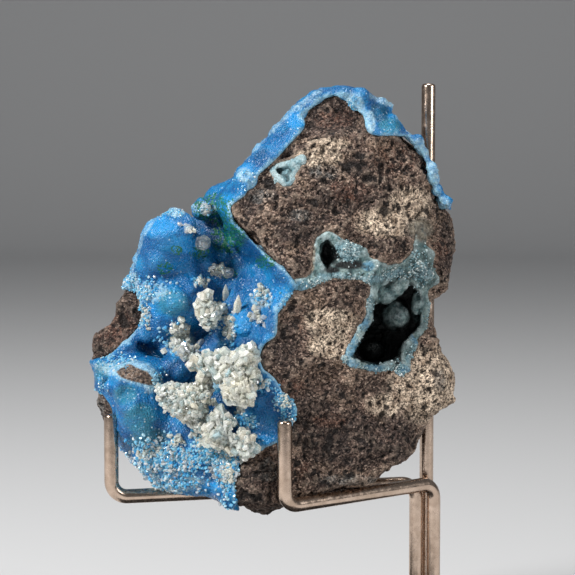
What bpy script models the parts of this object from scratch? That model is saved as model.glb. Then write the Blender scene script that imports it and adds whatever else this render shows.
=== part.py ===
"""Blue hemimorphite grown on brown gossan, standing in a stand of three bent metal rods.

Metres, +Z up. The origin is the middle of the base plate's underside, +X is to the right
and -Y faces the viewer. The stone's shape is given as somebody sees it from the front:
a place is a point (u, v) of a square view, plus a depth behind the stone's middle plane.
"""

import math

import bmesh
import bpy
from mathutils import Euler, Matrix, Vector, geometry, noise

MM = 0.001

# The front view in which the stone's places are given: u runs right, v runs down.
VIEW_DISTANCE = 600 * MM
VIEW_ELEVATION = math.radians(5)
VIEW_TARGET = Vector((0, 0, 109 * MM))
VIEW_MIDDLE = 287.5
VIEW_STEP = 0.28 * MM

# The stand
ROD_RADIUS = 2.0 * MM
ROD_BEND_RADIUS = 4.5 * MM
ROD_SECTION_RESOLUTION = 3
ARM_HEIGHT = 51.1 * MM
LEFT_POST = Vector((37.2 * MM, 14.0 * MM, 0))
FRONT_POST = Vector((42.2 * MM, 14.0 * MM, 0))
BACK_POST = Vector((40.4 * MM, 18.8 * MM, 0))
LEFT_HOOK = Vector((-49.0 * MM, -8.0 * MM, 0))
FRONT_HOOK = Vector((-0.8 * MM, -22.2 * MM, 0))
LEFT_HOOK_TOP = 74.5 * MM
FRONT_HOOK_TOP = 74.8 * MM
BACK_ROD_TOP = 166.0 * MM
BASE_SIZE = Vector((112 * MM, 80 * MM, 12 * MM))
BASE_CORNER_RADIUS = 8 * MM
BASE_EDGE_CHAMFER = 1 * MM
SOCKET_DEPTH = 8 * MM

# The stone
CLEARANCE = 0.35 * MM
SEAM_MERGE = 0.002 * MM
MATRIX_VOXEL = 1.3 * MM
CRUST_VOXEL = 1.1 * MM
HOLLOW_VOXEL = 1.2 * MM
LINING_THICKNESS = 1.9 * MM
POCKET_THICKNESS = 1.1 * MM
BACK_EDGE_DEPTH = 11

# How many triangles each fused shape keeps
MATRIX_TRIANGLES = 2250
CRUST_TRIANGLES = 1750
HOLLOW_TRIANGLES = 400
POCKET_TRIANGLES = 110
LOBE_TRIANGLES = 320

# The matrix's outline, clockwise from the top: u, v, and the front edge's depth in mm.
MATRIX_RIM = [
    (326, 98, -1), (345, 94, 0), (361, 97, 1), (375, 105, 2), (387, 114, 3), (394, 133, 0),
    (414, 144, 0), (423, 158, 1), (430, 179, 2), (440, 203, 3), (450, 217, 3), (452, 236, 2),
    (450, 262, 1), (451, 284, 0), (445, 293, -1), (433, 296, -2), (429, 308, -1), (431, 326, -1),
    (436, 334, -2), (441, 352, -3), (453, 371, -2), (455, 386, -3), (449, 400, -4), (439, 409, -6),
    (429, 413, -6), (427, 423, -6), (419, 436, -6), (415, 446, -8), (404, 459, -10), (390, 467, -11),
    (370, 480, -12), (352, 485, -13), (325, 493, -15), (300, 500, -17), (280, 507, -18), (262, 511, -19),
    (243, 505, -20), (229, 495, -18), (213, 487, -12), (190, 489, -8), (170, 486, -6),
    (158, 478, -5), (146, 464, -4), (133, 448, -3), (119, 434, -1), (106, 418, -1),
    (97, 402, -2), (101, 388, -2), (103, 374, -2), (92, 356, -3), (97, 340, -3), (107, 330, -3),
    (117, 318, -3), (122, 296, -2), (136, 276, 2), (147, 252, 4), (157, 233, 5), (169, 220, 6),
    (184, 217, 7), (201, 211, 8), (213, 198, 9), (226, 191, 9), (241, 178, 5), (258, 162, 1),
    (274, 142, 0), (292, 120, 0), (310, 104, 0),
]

# Places inside that outline that shape the matrix's front.
HEAD_FACE = [
    (230, 207, -18), (246, 191, -15), (262, 173, -13), (280, 152, -11), (299, 128, -7),
    (318, 106, -4), (345, 118, -3), (318, 126, -5), (296, 152, -14), (328, 141, -12),
    (360, 137, -9), (392, 136, -5), (300, 175, -15), (340, 165, -12), (385, 165, -8),
    (420, 172, -3), (280, 205, -18), (330, 200, -14), (380, 205, -11), (425, 215, -5),
    (248, 228, -19), (268, 250, -20), (287, 271, -20), (300, 240, -19), (345, 228, -15),
    (395, 240, -12), (434, 250, -6),
]
LOWER_FACE = [
    (292, 292, -20), (281, 312, -19), (277, 328, -19), (267, 345, -20), (262, 360, -21),
    (265, 373, -21), (279, 385, -20), (290, 400, -19), (299, 418, -18), (296, 432, -17.5),
    (283, 443, -17.5), (262, 452, -19), (246, 464, -21), (239, 480, -22), (239, 496, -22),
    (320, 300, -18), (350, 300, -16), (330, 340, -17), (300, 360, -19), (330, 390, -15),
    (370, 390, -13), (410, 390, -10), (440, 385, -8), (320, 430, -14), (360, 430, -13),
    (400, 430, -10), (290, 470, -17.5), (330, 470, -15), (370, 460, -12), (262, 490, -22),
    (265, 470, -20),
]
BOWL_FLOOR = [
    (222, 210, 6), (236, 234, 5), (254, 256, 1), (275, 280, -8), (150, 250, 7), (180, 240, 5),
    (205, 222, 8), (200, 268, 3), (238, 270, 2), (180, 300, -1), (220, 300, 1), (252, 300, -6),
    (262, 320, -11), (150, 345, 2), (190, 340, 0), (230, 340, -4), (250, 352, -12), (155, 385, -4),
    (200, 380, -4), (245, 385, -12), (130, 415, -7), (170, 430, -7), (220, 420, -6),
    (262, 410, -11), (282, 425, -13), (150, 460, -6), (190, 470, -8), (224, 470, -13),
    (235, 450, -14), (205, 450, -9),
]
LEFT_LEDGE = [
    (108, 346, -7), (122, 333, -7), (134, 312, -6), (137, 299, -3), (127, 349, -8), (142, 323, -4),
]

# Places on the matrix's back.
MATRIX_BACK = [
    (330, 130, 17), (290, 170, 20), (345, 190, 24), (395, 190, 14), (260, 230, 21),
    (310, 250, 28), (370, 260, 18), (400, 300, 13), (200, 250, 15), (160, 300, 14),
    (220, 310, 24), (290, 330, 29), (350, 350, 20), (150, 380, 14), (210, 390, 22),
    (280, 410, 25), (340, 420, 20), (390, 390, 14), (180, 450, 13), (240, 460, 18),
    (310, 470, 16),
]

# Round masses on the matrix: u, v, half width, half height and half thickness in steps
# of the view, and the depth of the middle in mm.
MATRIX_KNOBS = [
    (438, 385, 17, 22, 22, 0), (419, 411, 12, 15, 22, -2), (134, 375, 21, 8, 16, -12),
    (262, 491, 23, 18, 30, -13), (440, 270, 12, 24, 20, 2), (104, 352, 14, 16, 14, -1),
]

# The outline of everything that the blue crust covers, clockwise from the head's tip.
CRUST_OUTLINE = [
    (229, 205), (245, 196), (261, 171), (275, 160), (292, 141), (307, 126), (300, 116),
    (309, 110), (319, 101), (332, 95), (346, 95), (349, 108), (363, 113), (366, 124),
    (365, 133), (378, 136), (396, 136), (408, 137), (418, 148), (425, 160), (431, 181),
    (440, 198), (448, 212), (462, 212), (462, 190), (445, 150), (420, 125), (404, 95),
    (370, 78), (330, 78), (290, 95), (262, 130), (240, 148), (226, 165), (190, 190),
    (150, 205), (122, 240), (108, 275), (112, 290), (142, 291), (139, 308), (147, 319),
    (133, 334), (108, 356), (84, 361), (84, 388), (103, 393), (114, 412), (108, 440),
    (125, 485), (190, 515),
    (246, 522), (236, 500), (234, 478), (242, 456), (262, 449), (278, 443), (290, 431),
    (297, 416), (297, 405), (283, 394), (277, 380), (262, 368), (259, 359), (262, 346),
    (277, 336), (277, 310), (284, 300), (294, 293), (297, 284), (290, 275), (262, 250),
    (234, 221),
]
CRUST_NEAR = -45
CRUST_FAR = 8
CRUST_WAVE = 2.5
CRUST_THICKNESS = 2.2 * MM

# The blue crust's lobes: u, v, radius in steps of the view, depth of the front in mm.
UPPER_BOWL_LOBES = [
    (168, 243, 29, -13), (178, 223, 15, -11), (188, 225, 10, -13), (152, 262, 18, -9),
    (201, 211, 11, -2), (207, 204, 8, -3), (221, 197, 16, 1), (234, 191, 12, -1),
    (228, 212, 11, 1), (218, 232, 18, 2), (205, 262, 19, -5), (188, 268, 14, -8),
    (247, 268, 12, -3), (264, 274, 13, -9), (275, 280, 10, -15), (138, 273, 9, -4),
    (144, 258, 10, -5), (131, 284, 6, -4), (148, 291, 11, -7), (205, 243, 8, -7),
]
MIDDLE_BOWL_LOBES = [
    (249, 289, 13, -9), (264, 290, 16, -12), (281, 285, 9, -18.5), (240, 301, 12, -7),
    (283, 302, 8, -19), (249, 320, 18, -14.5), (270, 322, 9, -17), (273, 338, 9, -18),
    (182, 299, 31, -12), (163, 318, 20, -8), (203, 312, 15, -7), (222, 280, 14, -4),
    (226, 318, 13, -8), (147, 335, 11, -8), (184, 352, 13, -8), (214, 350, 12, -10),
    (230, 340, 13, -11), (250, 340, 12, -15), (173, 366, 12, -13), (165, 350, 8, -7),
]
LOWER_BOWL_LOBES = [
    (123, 369, 12, -11), (113, 370, 9, -9), (150, 364, 10, -12), (163, 378, 11, -13),
    (106, 373, 10, -6), (106, 386, 8, -5), (142, 412, 26, -18), (122, 390, 12, -14),
    (148, 394, 14, -16), (130, 431, 12, -13), (148, 434, 14, -15), (210, 398, 12, -10),
    (236, 408, 12, -12), (265, 402, 19, -18), (283, 414, 11, -17), (262, 380, 10, -19),
    (187, 430, 19, -17), (166, 428, 16, -15), (209, 442, 18, -19), (243, 425, 12, -18),
    (262, 430, 13, -18), (154, 448, 15, -13), (157, 464, 16, -13), (176, 457, 18, -17),
    (200, 460, 20, -19), (183, 478, 16, -15), (164, 477, 12, -11), (144, 456, 12, -10),
    (209, 479, 14, -17), (226, 470, 12, -21), (238, 447, 10, -21), (224, 489, 12, -20),
    (230, 500, 9, -20), (197, 486, 9, -13),
]
RIM_LOBES = [
    (247, 175, 13, -13), (243, 190, 9, -15), (260, 160, 11, -11), (272, 148, 9, -10),
    (281, 137, 9, -9), (290, 124, 9, -7), (302, 109, 7, -4), (318, 99, 6, -2),
    (345, 92, 8, -3), (362, 95, 9, -4), (378, 104, 7, -2), (391, 105, 5, 0),
    (397, 124, 7, -1), (418, 140, 8, -3), (434, 168, 7, -2), (447, 200, 8, -2),
]
POCKET_DENTS = [(383, 117, 12, 12, 9, -9), (372, 105, 5, 7, 7, -9)]
HOLLOW_DENTS = [(147, 348, 15, 9, 16, -7), (205, 336, 12, 11, 14, -9), (222, 402, 13, 12, 18, -15)]

# The hollows: outline of the big one's mouth, and the round spaces that widen and join them.
BIG_MOUTH = [
    (370, 284), (371, 300), (373, 309), (363, 324), (352, 336), (346, 348), (341, 360),
    (349, 366), (364, 369), (378, 373), (391, 368), (399, 377), (409, 372), (409, 359),
    (417, 351), (423, 341), (436, 331), (440, 315), (438, 297), (436, 288), (426, 277), (404, 270),
    (386, 274),
]
BIG_SHAFT = [
    (365, 300), (365, 316), (354, 334), (345, 352), (350, 366), (366, 371), (386, 370),
    (401, 362), (407, 351), (414, 342), (427, 328), (429, 312), (426, 290), (416, 277),
    (400, 274), (384, 282), (372, 291),
]
VUG_SHAFTS = [(BIG_MOUTH, -40, -5), (BIG_SHAFT, -30, 7)]
BIG_HOLLOW = [(392, 318, 29, 34, 28, 1.5), (376, 342, 29, 26, 30, 3), (399, 340, 23, 22, 24, 2)]
SMALL_HOLLOW = [(327, 254, 16, 24, 32, -17), (350, 256, 19, 15, 26, -17)]
SEAM = [
    (296, 284, 11, 8, 16, -19), (311, 280, 9, 8, 15, -18), (328, 273, 11, 8, 16, -17),
    (350, 272, 13, 9, 18, -15), (374, 272, 15, 13, 24, -14), (394, 274, 15, 12, 24, -12),
    (412, 268, 14, 13, 20, -10), (425, 262, 15, 16, 19, -8), (430, 279, 13, 12, 17, -5),
    (424, 232, 13, 15, 15, -9), (418, 246, 8, 10, 12, -9),
]
TOP_POCKET = [(284, 171, 15, 9, 20, -12), (294, 166, 9, 9, 18, -11), (287, 181, 9, 9, 18, -13)]

# The lining's round lobes inside the hollows.
LINING_LOBES = [
    (395, 313, 13, 15, 15, 3), (373, 351, 12, 11, 12, 6), (351, 252, 11, 11, 14, -14),
    (366, 262, 8, 7, 12, -14), (418, 303, 5, 13, 10, 0),
]

# White crystals: the knots that a cluster grows from, each with its half sizes in steps of
# the view and its front's depth in mm, and the crystals that stand on them.
CLUSTERS = {
    "white_crystals_left": dict(
        knots=[(188, 402, 20, 18, -25), (171, 395, 13, 13, -22), (196, 415, 13, 10, -22),
               (204, 388, 9, 9, -20)],
        crystals=21, stand_out=1.9, width=2.6, seed=3,
    ),
    "white_crystals_right": dict(
        knots=[(240, 386, 14, 17, -26), (245, 364, 12, 14, -24), (222, 366, 13, 12, -23),
               (206, 364, 9, 8, -20)],
        crystals=21, stand_out=1.8, width=2.4, seed=5,
    ),
    "white_crystals_low": dict(
        knots=[(221, 424, 10, 9, -24), (243, 441, 11, 9, -25), (218, 439, 14, 8, -24)],
        crystals=14, stand_out=1.7, width=2.1, seed=7,
    ),
    "white_crystals_high": dict(
        knots=[(206, 305, 7, 9, -13), (209, 318, 7, 8, -13), (224, 330, 9, 6, -14), (237, 306, 5, 8, -13)],
        crystals=11, stand_out=1.5, width=1.8, seed=11,
    ),
}

COLOURS = {
    "gossan": (0.22, 0.14, 0.10, 0.95, 0.0),
    "blue_hemimorphite": (0.06, 0.34, 0.72, 0.35, 0.0),
    "teal_hemimorphite": (0.32, 0.52, 0.53, 0.4, 0.0),
    "white_hemimorphite": (0.86, 0.87, 0.80, 0.25, 0.0),
    "rod_metal": (0.80, 0.70, 0.63, 0.28, 1.0),
    "black_steel": (0.02, 0.02, 0.022, 0.45, 0.4),
}


def seen(u, v, depth_mm):
    """The point at that depth behind the middle plane which shows at (u, v) in the view."""
    forward = Vector((0, math.cos(VIEW_ELEVATION), -math.sin(VIEW_ELEVATION)))
    up = Vector((0, math.sin(VIEW_ELEVATION), math.cos(VIEW_ELEVATION)))
    eye = VIEW_TARGET - forward * VIEW_DISTANCE
    ray = forward * VIEW_DISTANCE
    ray += Vector((1, 0, 0)) * (u - VIEW_MIDDLE) * VIEW_STEP
    ray += up * (VIEW_MIDDLE - v) * VIEW_STEP
    return eye + ray * ((depth_mm * MM - eye.y) / ray.y)


def finish_material(name):
    """The material of that name, made once."""
    found = bpy.data.materials.get(name)
    if found:
        return found
    red, green, blue, roughness, metallic = COLOURS[name]
    made = bpy.data.materials.new(name)
    made.use_nodes = True
    shader = made.node_tree.nodes["Principled BSDF"]
    shader.inputs["Base Color"].default_value = (red, green, blue, 1)
    shader.inputs["Roughness"].default_value = roughness
    shader.inputs["Metallic"].default_value = metallic
    made.diffuse_color = (red, green, blue, 1)
    return made


def object_from(bm, name, helper=False):
    """A scene object that holds the bmesh. A helper, such as a cutter, isn't a piece."""
    mesh = bpy.data.meshes.new(name)
    bm.to_mesh(mesh)
    bm.free()
    made = bpy.data.objects.new(name, mesh)
    bpy.context.scene.collection.objects.link(made)
    if helper:
        made.hide_render = True
        made.display_type = "WIRE"
    return made


def apply_modifiers(obj):
    """Replaces the object's mesh by what its modifiers make of it."""
    graph = bpy.context.evaluated_depsgraph_get()
    made = bpy.data.meshes.new_from_object(obj.evaluated_get(graph))
    obj.modifiers.clear()
    obj.data = made


def fuse(obj, voxel, triangles=None, smoothing=2):
    """Melts the overlapping shapes in the object into one closed skin, with about that many triangles."""
    remesh = obj.modifiers.new("Fuse", "REMESH")
    remesh.mode = "VOXEL"
    remesh.voxel_size = voxel
    if smoothing:
        smooth = obj.modifiers.new("Soften", "SMOOTH")
        smooth.iterations = smoothing
    apply_modifiers(obj)
    if triangles:
        thin_out(obj, triangles)


def thin_out(obj, triangles):
    obj.data.calc_loop_triangles()
    decimate = obj.modifiers.new("Thin out", "DECIMATE")
    decimate.ratio = min(1, triangles / len(obj.data.loop_triangles))
    decimate.use_collapse_triangulate = True
    apply_modifiers(obj)


def boolean(obj, other, operation):
    cut = obj.modifiers.new(operation, "BOOLEAN")
    cut.operation = operation
    cut.solver = "EXACT"
    cut.object = other
    apply_modifiers(obj)


def body_of(face, taken):
    """The faces that hang together with this one."""
    body, front = [], [face]
    taken.add(face)
    while front:
        at = front.pop()
        body.append(at)
        for near in (other for edge in at.edges for other in edge.link_faces):
            if near not in taken:
                taken.add(near)
                front.append(near)
    return body


def keep_largest_body(obj):
    """Drops the crumbs that a cut leaves beside the main body, and closes hairline seams."""
    bm = bmesh.new()
    bm.from_mesh(obj.data)
    bmesh.ops.dissolve_degenerate(bm, edges=bm.edges, dist=SEAM_MERGE)
    bmesh.ops.triangulate(bm, faces=bm.faces, ngon_method="EAR_CLIP")
    taken = set()
    bodies = [body_of(face, taken) for face in bm.faces if face not in taken]
    bodies.sort(key=len)
    crumbs = [face for body in bodies[:-1] for face in body]
    bmesh.ops.delete(bm, geom=crumbs, context="FACES")
    bm.to_mesh(obj.data)
    bm.free()


def cut_clear(obj, rooms):
    """Cuts each room out of the object in turn, and keeps what stays in one piece."""
    for room in rooms:
        boolean(obj, room, "DIFFERENCE")
        keep_largest_body(obj)


def swollen(obj, distance, name):
    """A helper copy whose skin lies that far outside the object's, or inside if negative."""
    bm = bmesh.new()
    bm.from_mesh(obj.data)
    bm.normal_update()
    moves = [vertex.normal * distance for vertex in bm.verts]
    for vertex, move in zip(bm.verts, moves):
        vertex.co += move
    return object_from(bm, name, helper=True)


def roughen(obj, amplitude, scale, seed):
    """Moves the skin in and out by fractal noise."""
    offset = Vector((seed, 2 * seed, 3 * seed))
    bm = bmesh.new()
    bm.from_mesh(obj.data)
    bm.normal_update()
    for vertex in bm.verts:
        place = vertex.co / scale + offset
        vertex.co += vertex.normal * amplitude * noise.fractal(place, 0.9, 2.1, 3)
    bm.to_mesh(obj.data)
    bm.free()


def add_lump(bm, u, v, half_width, half_height, half_thickness, middle_depth, detail=3):
    """Adds an ellipsoid, its half sizes in steps of the view."""
    sizes = Vector((half_width, half_thickness, half_height)) * VIEW_STEP
    place = Matrix.LocRotScale(seen(u, v, middle_depth), None, sizes)
    bmesh.ops.create_icosphere(bm, subdivisions=detail, radius=1, matrix=place)


def add_lobe(bm, u, v, radius, front_depth):
    """Adds a ball whose nearest point has that depth."""
    add_lump(bm, u, v, radius, radius, radius, front_depth + radius * VIEW_STEP / MM)


def triangulated(rim, spots):
    """Triangles over the outline's corners and the places inside it, as index triples."""
    flat = [Vector((u, v)) for u, v, _ in rim + spots]
    count = len(rim)
    edges = [(i, (i + 1) % count) for i in range(count)]
    points, _, faces, sources, _, _ = geometry.delaunay_2d_cdt(flat, edges, [], 1, 1e-4)
    index = [source[0] for source in sources]
    return [tuple(index[i] for i in face) for face in faces]


def add_relief(bm, rim, front_spots, back_spots, back_depth, wave=0):
    """Adds a closed slab whose front and back go through the places given. Its back edge waves."""
    count = len(rim)
    back_rim = [(u, v, back_depth + wave * math.sin(2.1 * i)) for i, (u, v, _) in enumerate(rim)]
    front = [bm.verts.new(seen(*place)) for place in rim + front_spots]
    back = [bm.verts.new(seen(*place)) for place in back_rim + back_spots]
    for a, b, c in triangulated(rim, front_spots):
        bm.faces.new((front[a], front[b], front[c]))
    for a, b, c in triangulated(back_rim, back_spots):
        bm.faces.new((back[c], back[b], back[a]))
    for i in range(count):
        j = (i + 1) % count
        bm.faces.new((front[j], front[i], back[i], back[j]))
    bmesh.ops.recalc_face_normals(bm, faces=bm.faces)


def narrowed(outline, steps):
    """The outline with each corner moved inwards by that many steps of the view."""
    made = []
    for i, (u, v) in enumerate(outline):
        before = Vector(outline[i - 1])
        after = Vector(outline[(i + 1) % len(outline)])
        along = (after - before).normalized()
        made.append((u + along.y * steps, v - along.x * steps))
    return made


def whole_matrix():
    """The gossan before its hollows are cut."""
    bm = bmesh.new()
    spots = HEAD_FACE + LOWER_FACE + BOWL_FLOOR + LEFT_LEDGE
    add_relief(bm, MATRIX_RIM, spots, MATRIX_BACK, BACK_EDGE_DEPTH)
    for knob in MATRIX_KNOBS:
        add_lump(bm, *knob)
    matrix = object_from(bm, "matrix")
    fuse(matrix, MATRIX_VOXEL)
    roughen(matrix, 1.3 * MM, 9 * MM, seed=4)
    roughen(matrix, 0.7 * MM, 3.6 * MM, seed=9)
    thin_out(matrix, MATRIX_TRIANGLES)
    return matrix


def hollow_shape(name, wall, lumps, shafts=(), triangles=HOLLOW_TRIANGLES):
    """The hollows as a helper solid, narrowed by the wall on every side."""
    bm = bmesh.new()
    step_wall = wall / VIEW_STEP
    for outline, near, far in shafts:
        corners = [(u, v, near) for u, v in narrowed(outline, step_wall)]
        add_relief(bm, corners, [], [], far - wall / MM)
    for u, v, half_width, half_height, half_thickness, middle in lumps:
        halves = [half - step_wall for half in (half_width, half_height, half_thickness)]
        add_lump(bm, u, v, *halves, middle, detail=2)
    shape = object_from(bm, name, helper=True)
    fuse(shape, HOLLOW_VOXEL, triangles, smoothing=1)
    return shape


def lobes_shape(name, lobes):
    bm = bmesh.new()
    for lobe in lobes:
        add_lump(bm, *lobe, detail=2)
    shape = object_from(bm, name, helper=True)
    fuse(shape, HOLLOW_VOXEL, LOBE_TRIANGLES, smoothing=0)
    return shape


def lining_in(name, uncut, hollow, opened, shafts, lobes, wall, triangles):
    """The teal crust in a hollow: flush with the broken face, and open in the middle."""
    lining = swollen(hollow, -CLEARANCE, name)
    lining.hide_render = False
    lining.display_type = "TEXTURED"
    boolean(lining, uncut, "INTERSECT")
    space = hollow_shape(name + "_space", wall, opened, shafts, triangles)
    if lobes:
        boolean(space, lobes_shape(name + "_lobes", lobes), "DIFFERENCE")
    boolean(lining, space, "DIFFERENCE")
    keep_largest_body(lining)
    return lining


def blue_crust(matrix):
    """The blue botryoidal crust over the bowl and round the head, before it is fitted."""
    layer = swollen(matrix, CRUST_THICKNESS, "blue_crust")
    layer.hide_render = False
    layer.display_type = "TEXTURED"
    fuse(layer, MATRIX_VOXEL)
    bm = bmesh.new()
    add_relief(bm, [(u, v, CRUST_NEAR) for u, v in CRUST_OUTLINE], [], [], CRUST_FAR, CRUST_WAVE)
    region = object_from(bm, "crust_region", helper=True)
    boolean(layer, region, "INTERSECT")
    bm = bmesh.new()
    bm.from_mesh(layer.data)
    for lobe in UPPER_BOWL_LOBES + MIDDLE_BOWL_LOBES + LOWER_BOWL_LOBES + RIM_LOBES:
        add_lobe(bm, *lobe)
    bm.to_mesh(layer.data)
    bm.free()
    fuse(layer, CRUST_VOXEL, smoothing=1)
    boolean(layer, lobes_shape("crust_dents", POCKET_DENTS + HOLLOW_DENTS), "DIFFERENCE")
    keep_largest_body(layer)
    thin_out(layer, CRUST_TRIANGLES)
    return layer


def rounded_path(corners, radius, steps=5):
    """A path through the corners, with each inner corner turned into an arc."""
    path = [corners[0]]
    for before, corner, after in zip(corners, corners[1:], corners[2:]):
        into = (corner - before).normalized()
        out = (after - corner).normalized()
        half_turn = into.angle(out) / 2
        reach = radius * math.tan(half_turn)
        centre = corner + (out - into).normalized() * radius / math.cos(half_turn)
        start = corner - into * reach - centre
        axis = into.cross(out).normalized()
        for i in range(steps + 1):
            turn = Matrix.Rotation(2 * half_turn * i / steps, 3, axis)
            path.append(centre + turn @ start)
    path.append(corners[-1])
    return path


def rod(name, path, radius=ROD_RADIUS, helper=False):
    """A round bar that follows the path."""
    curve = bpy.data.curves.new(name, "CURVE")
    curve.dimensions = "3D"
    curve.bevel_depth = radius
    curve.bevel_resolution = ROD_SECTION_RESOLUTION
    curve.use_fill_caps = True
    spline = curve.splines.new("POLY")
    spline.points.add(len(path) - 1)
    for point, place in zip(spline.points, path):
        point.co = (*place, 1)
    bar = bpy.data.objects.new(name, curve)
    bpy.context.scene.collection.objects.link(bar)
    mesh = bpy.data.meshes.new_from_object(bar.evaluated_get(bpy.context.evaluated_depsgraph_get()))
    bpy.data.objects.remove(bar)
    bm = bmesh.new()
    bm.from_mesh(mesh)
    bmesh.ops.remove_doubles(bm, verts=bm.verts, dist=0.01 * MM)
    bmesh.ops.recalc_face_normals(bm, faces=bm.faces)
    return object_from(bm, name, helper)


def at_height(place, height):
    return Vector((place.x, place.y, height))


def rod_paths():
    """The path of each rod, from its foot in the base to its tip."""
    foot = BASE_SIZE.z - SOCKET_DEPTH + CLEARANCE
    bent = {}
    for name, post, hook, top in (
        ("left_arm", LEFT_POST, LEFT_HOOK, LEFT_HOOK_TOP),
        ("front_arm", FRONT_POST, FRONT_HOOK, FRONT_HOOK_TOP),
    ):
        corners = [at_height(post, foot), at_height(post, ARM_HEIGHT)]
        corners += [at_height(hook, ARM_HEIGHT), at_height(hook, top)]
        bent[name] = rounded_path(corners, ROD_BEND_RADIUS)
    bent["back_rod"] = [at_height(BACK_POST, foot), at_height(BACK_POST, BACK_ROD_TOP)]
    return bent


def base_plate():
    """The plain plate that the rods stand in."""
    bm = bmesh.new()
    middle = Matrix.Translation((0, 0, BASE_SIZE.z / 2))
    bmesh.ops.create_cube(bm, size=1, matrix=middle @ Matrix.Diagonal((*BASE_SIZE, 1)))
    upright = [e for e in bm.edges if abs(e.verts[0].co.z - e.verts[1].co.z) > BASE_SIZE.z / 2]
    bmesh.ops.bevel(
        bm, geom=upright, offset=BASE_CORNER_RADIUS, segments=5, affect="EDGES", profile=0.5, material=-1
    )
    top = [e for e in bm.edges if all(v.co.z > BASE_SIZE.z - 1e-6 for v in e.verts)]
    bmesh.ops.bevel(
        bm, geom=top, offset=BASE_EDGE_CHAMFER, segments=1, affect="EDGES", profile=0.5, material=-1
    )
    plate = object_from(bm, "base_plate")
    for i, post in enumerate((LEFT_POST, FRONT_POST, BACK_POST)):
        bm = bmesh.new()
        place = Matrix.Translation(at_height(post, BASE_SIZE.z))
        hole = ROD_RADIUS + CLEARANCE * 0.8
        bmesh.ops.create_cone(
            bm, cap_ends=True, segments=12, radius1=hole, radius2=hole, depth=2 * SOCKET_DEPTH, matrix=place
        )
        socket = object_from(bm, f"socket_{i}", helper=True)
        boolean(plate, socket, "DIFFERENCE")
    return plate


def add_crystal(bm, foot, direction, length, width, turn):
    """Adds one flat four-sided crystal with a chisel tip, standing on its foot."""
    stand = direction.to_track_quat("Z", "Y").to_matrix().to_4x4()
    place = Matrix.Translation(foot) @ stand @ Matrix.Rotation(turn, 4, "Z")
    body = Matrix.Translation((0, 0, length / 2)) @ Matrix.Diagonal((width, width * 0.6, length, 1))
    made = bmesh.ops.create_cube(bm, size=1, matrix=place @ body)
    tip = [v for v in made["verts"] if (place.inverted() @ v.co).z > length * 0.9]
    centre = sum((v.co for v in tip), Vector()) / len(tip)
    for vertex in tip:
        vertex.co = centre.lerp(vertex.co, 0.6)


def spread_directions(count, seed):
    """Directions spread evenly over the half space that faces the viewer."""
    golden = math.pi * (3 - math.sqrt(5))
    for i in range(count):
        forward = (i + 0.5) / count
        ring = math.sqrt(1 - forward * forward)
        angle = i * golden + seed
        yield Vector((ring * math.cos(angle), -forward, ring * math.sin(angle)))


def crystal_cluster(name, knots, crystals, stand_out, width, seed):
    """Knots of white crystals whose flat-sided tips stand out, fused in one solid."""
    bm = bmesh.new()
    centres = []
    for u, v, half_width, half_height, front in knots:
        half = min(half_width, half_height)
        middle_depth = front + half * VIEW_STEP / MM
        add_lump(bm, u, v, half_width, half_height, half, middle_depth, detail=2)
        centres.append((seen(u, v, middle_depth), Vector((half_width, half, half_height)) * VIEW_STEP))
    cluster = object_from(bm, name)
    fuse(cluster, 1.0 * MM, 44 * len(knots), smoothing=0)
    for i, direction in enumerate(spread_directions(crystals, seed)):
        middle, halves = centres[i % len(centres)]
        reach = 1 / (Vector(d / h for d, h in zip(direction, halves)).length)
        length = reach + stand_out * MM * (0.5 + ((i * 7) % 5) / 5)
        size = width * MM * (0.8 + ((i * 3) % 4) / 8)
        bm = bmesh.new()
        add_crystal(bm, middle, direction, length, size, turn=i * 1.3)
        crystal = object_from(bm, "crystal", helper=True)
        boolean(cluster, crystal, "UNION")
        bpy.data.objects.remove(crystal)
    return cluster


def give(obj, material_name):
    obj.data.materials.clear()
    obj.data.materials.append(finish_material(material_name))


def build():
    for old in list(bpy.data.objects):
        bpy.data.objects.remove(old)

    paths = rod_paths()
    rods = [rod(name, path) for name, path in paths.items()]
    for bar in rods:
        give(bar, "rod_metal")
    give(base_plate(), "black_steel")
    clear_rods = [
        rod(name + "_room", path, ROD_RADIUS + CLEARANCE, helper=True) for name, path in paths.items()
    ]

    matrix = whole_matrix()
    vugs = BIG_HOLLOW + SMALL_HOLLOW
    vug_cut = hollow_shape("vug_cut", 0, vugs + SEAM, VUG_SHAFTS)
    pocket_cut = hollow_shape("pocket_cut", 0, TOP_POCKET, triangles=POCKET_TRIANGLES)
    lining = lining_in(
        "vug_lining", matrix, vug_cut, vugs, VUG_SHAFTS, LINING_LOBES, LINING_THICKNESS,
        HOLLOW_TRIANGLES,
    )
    pocket = lining_in(
        "pocket_lining", matrix, pocket_cut, TOP_POCKET, [], [], POCKET_THICKNESS, POCKET_TRIANGLES
    )
    crust = blue_crust(matrix)
    cut_clear(matrix, clear_rods + [vug_cut, pocket_cut])

    matrix_room = swollen(matrix, CLEARANCE, "matrix_room")
    cut_clear(crust, clear_rods + [matrix_room, swollen(lining, CLEARANCE, "lining_room")])

    rooms = clear_rods + [matrix_room, swollen(crust, CLEARANCE, "crust_room")]
    for name, shape in CLUSTERS.items():
        cluster = crystal_cluster(name, **shape)
        cut_clear(cluster, rooms)
        rooms.append(swollen(cluster, CLEARANCE, name + "_room"))
        give(cluster, "white_hemimorphite")

    give(matrix, "gossan")
    for crust_in_hollow in (lining, pocket):
        give(crust_in_hollow, "teal_hemimorphite")
    give(crust, "blue_hemimorphite")


build()
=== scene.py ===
# %% [markdown]
# # Blue hemimorphite in a stand of bent rods
# Hemimorphite is a zinc silicate that often grows as a blue crust of round heads, and this one
# filled a bowl in brown, rusty gossan. This lesson dresses the plain solids of the packed
# model. Every piece starts from one of those solids or repeats its sizes, so it stays where
# the solid is and keeps its size.

# %% Load the frame
import math

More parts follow.
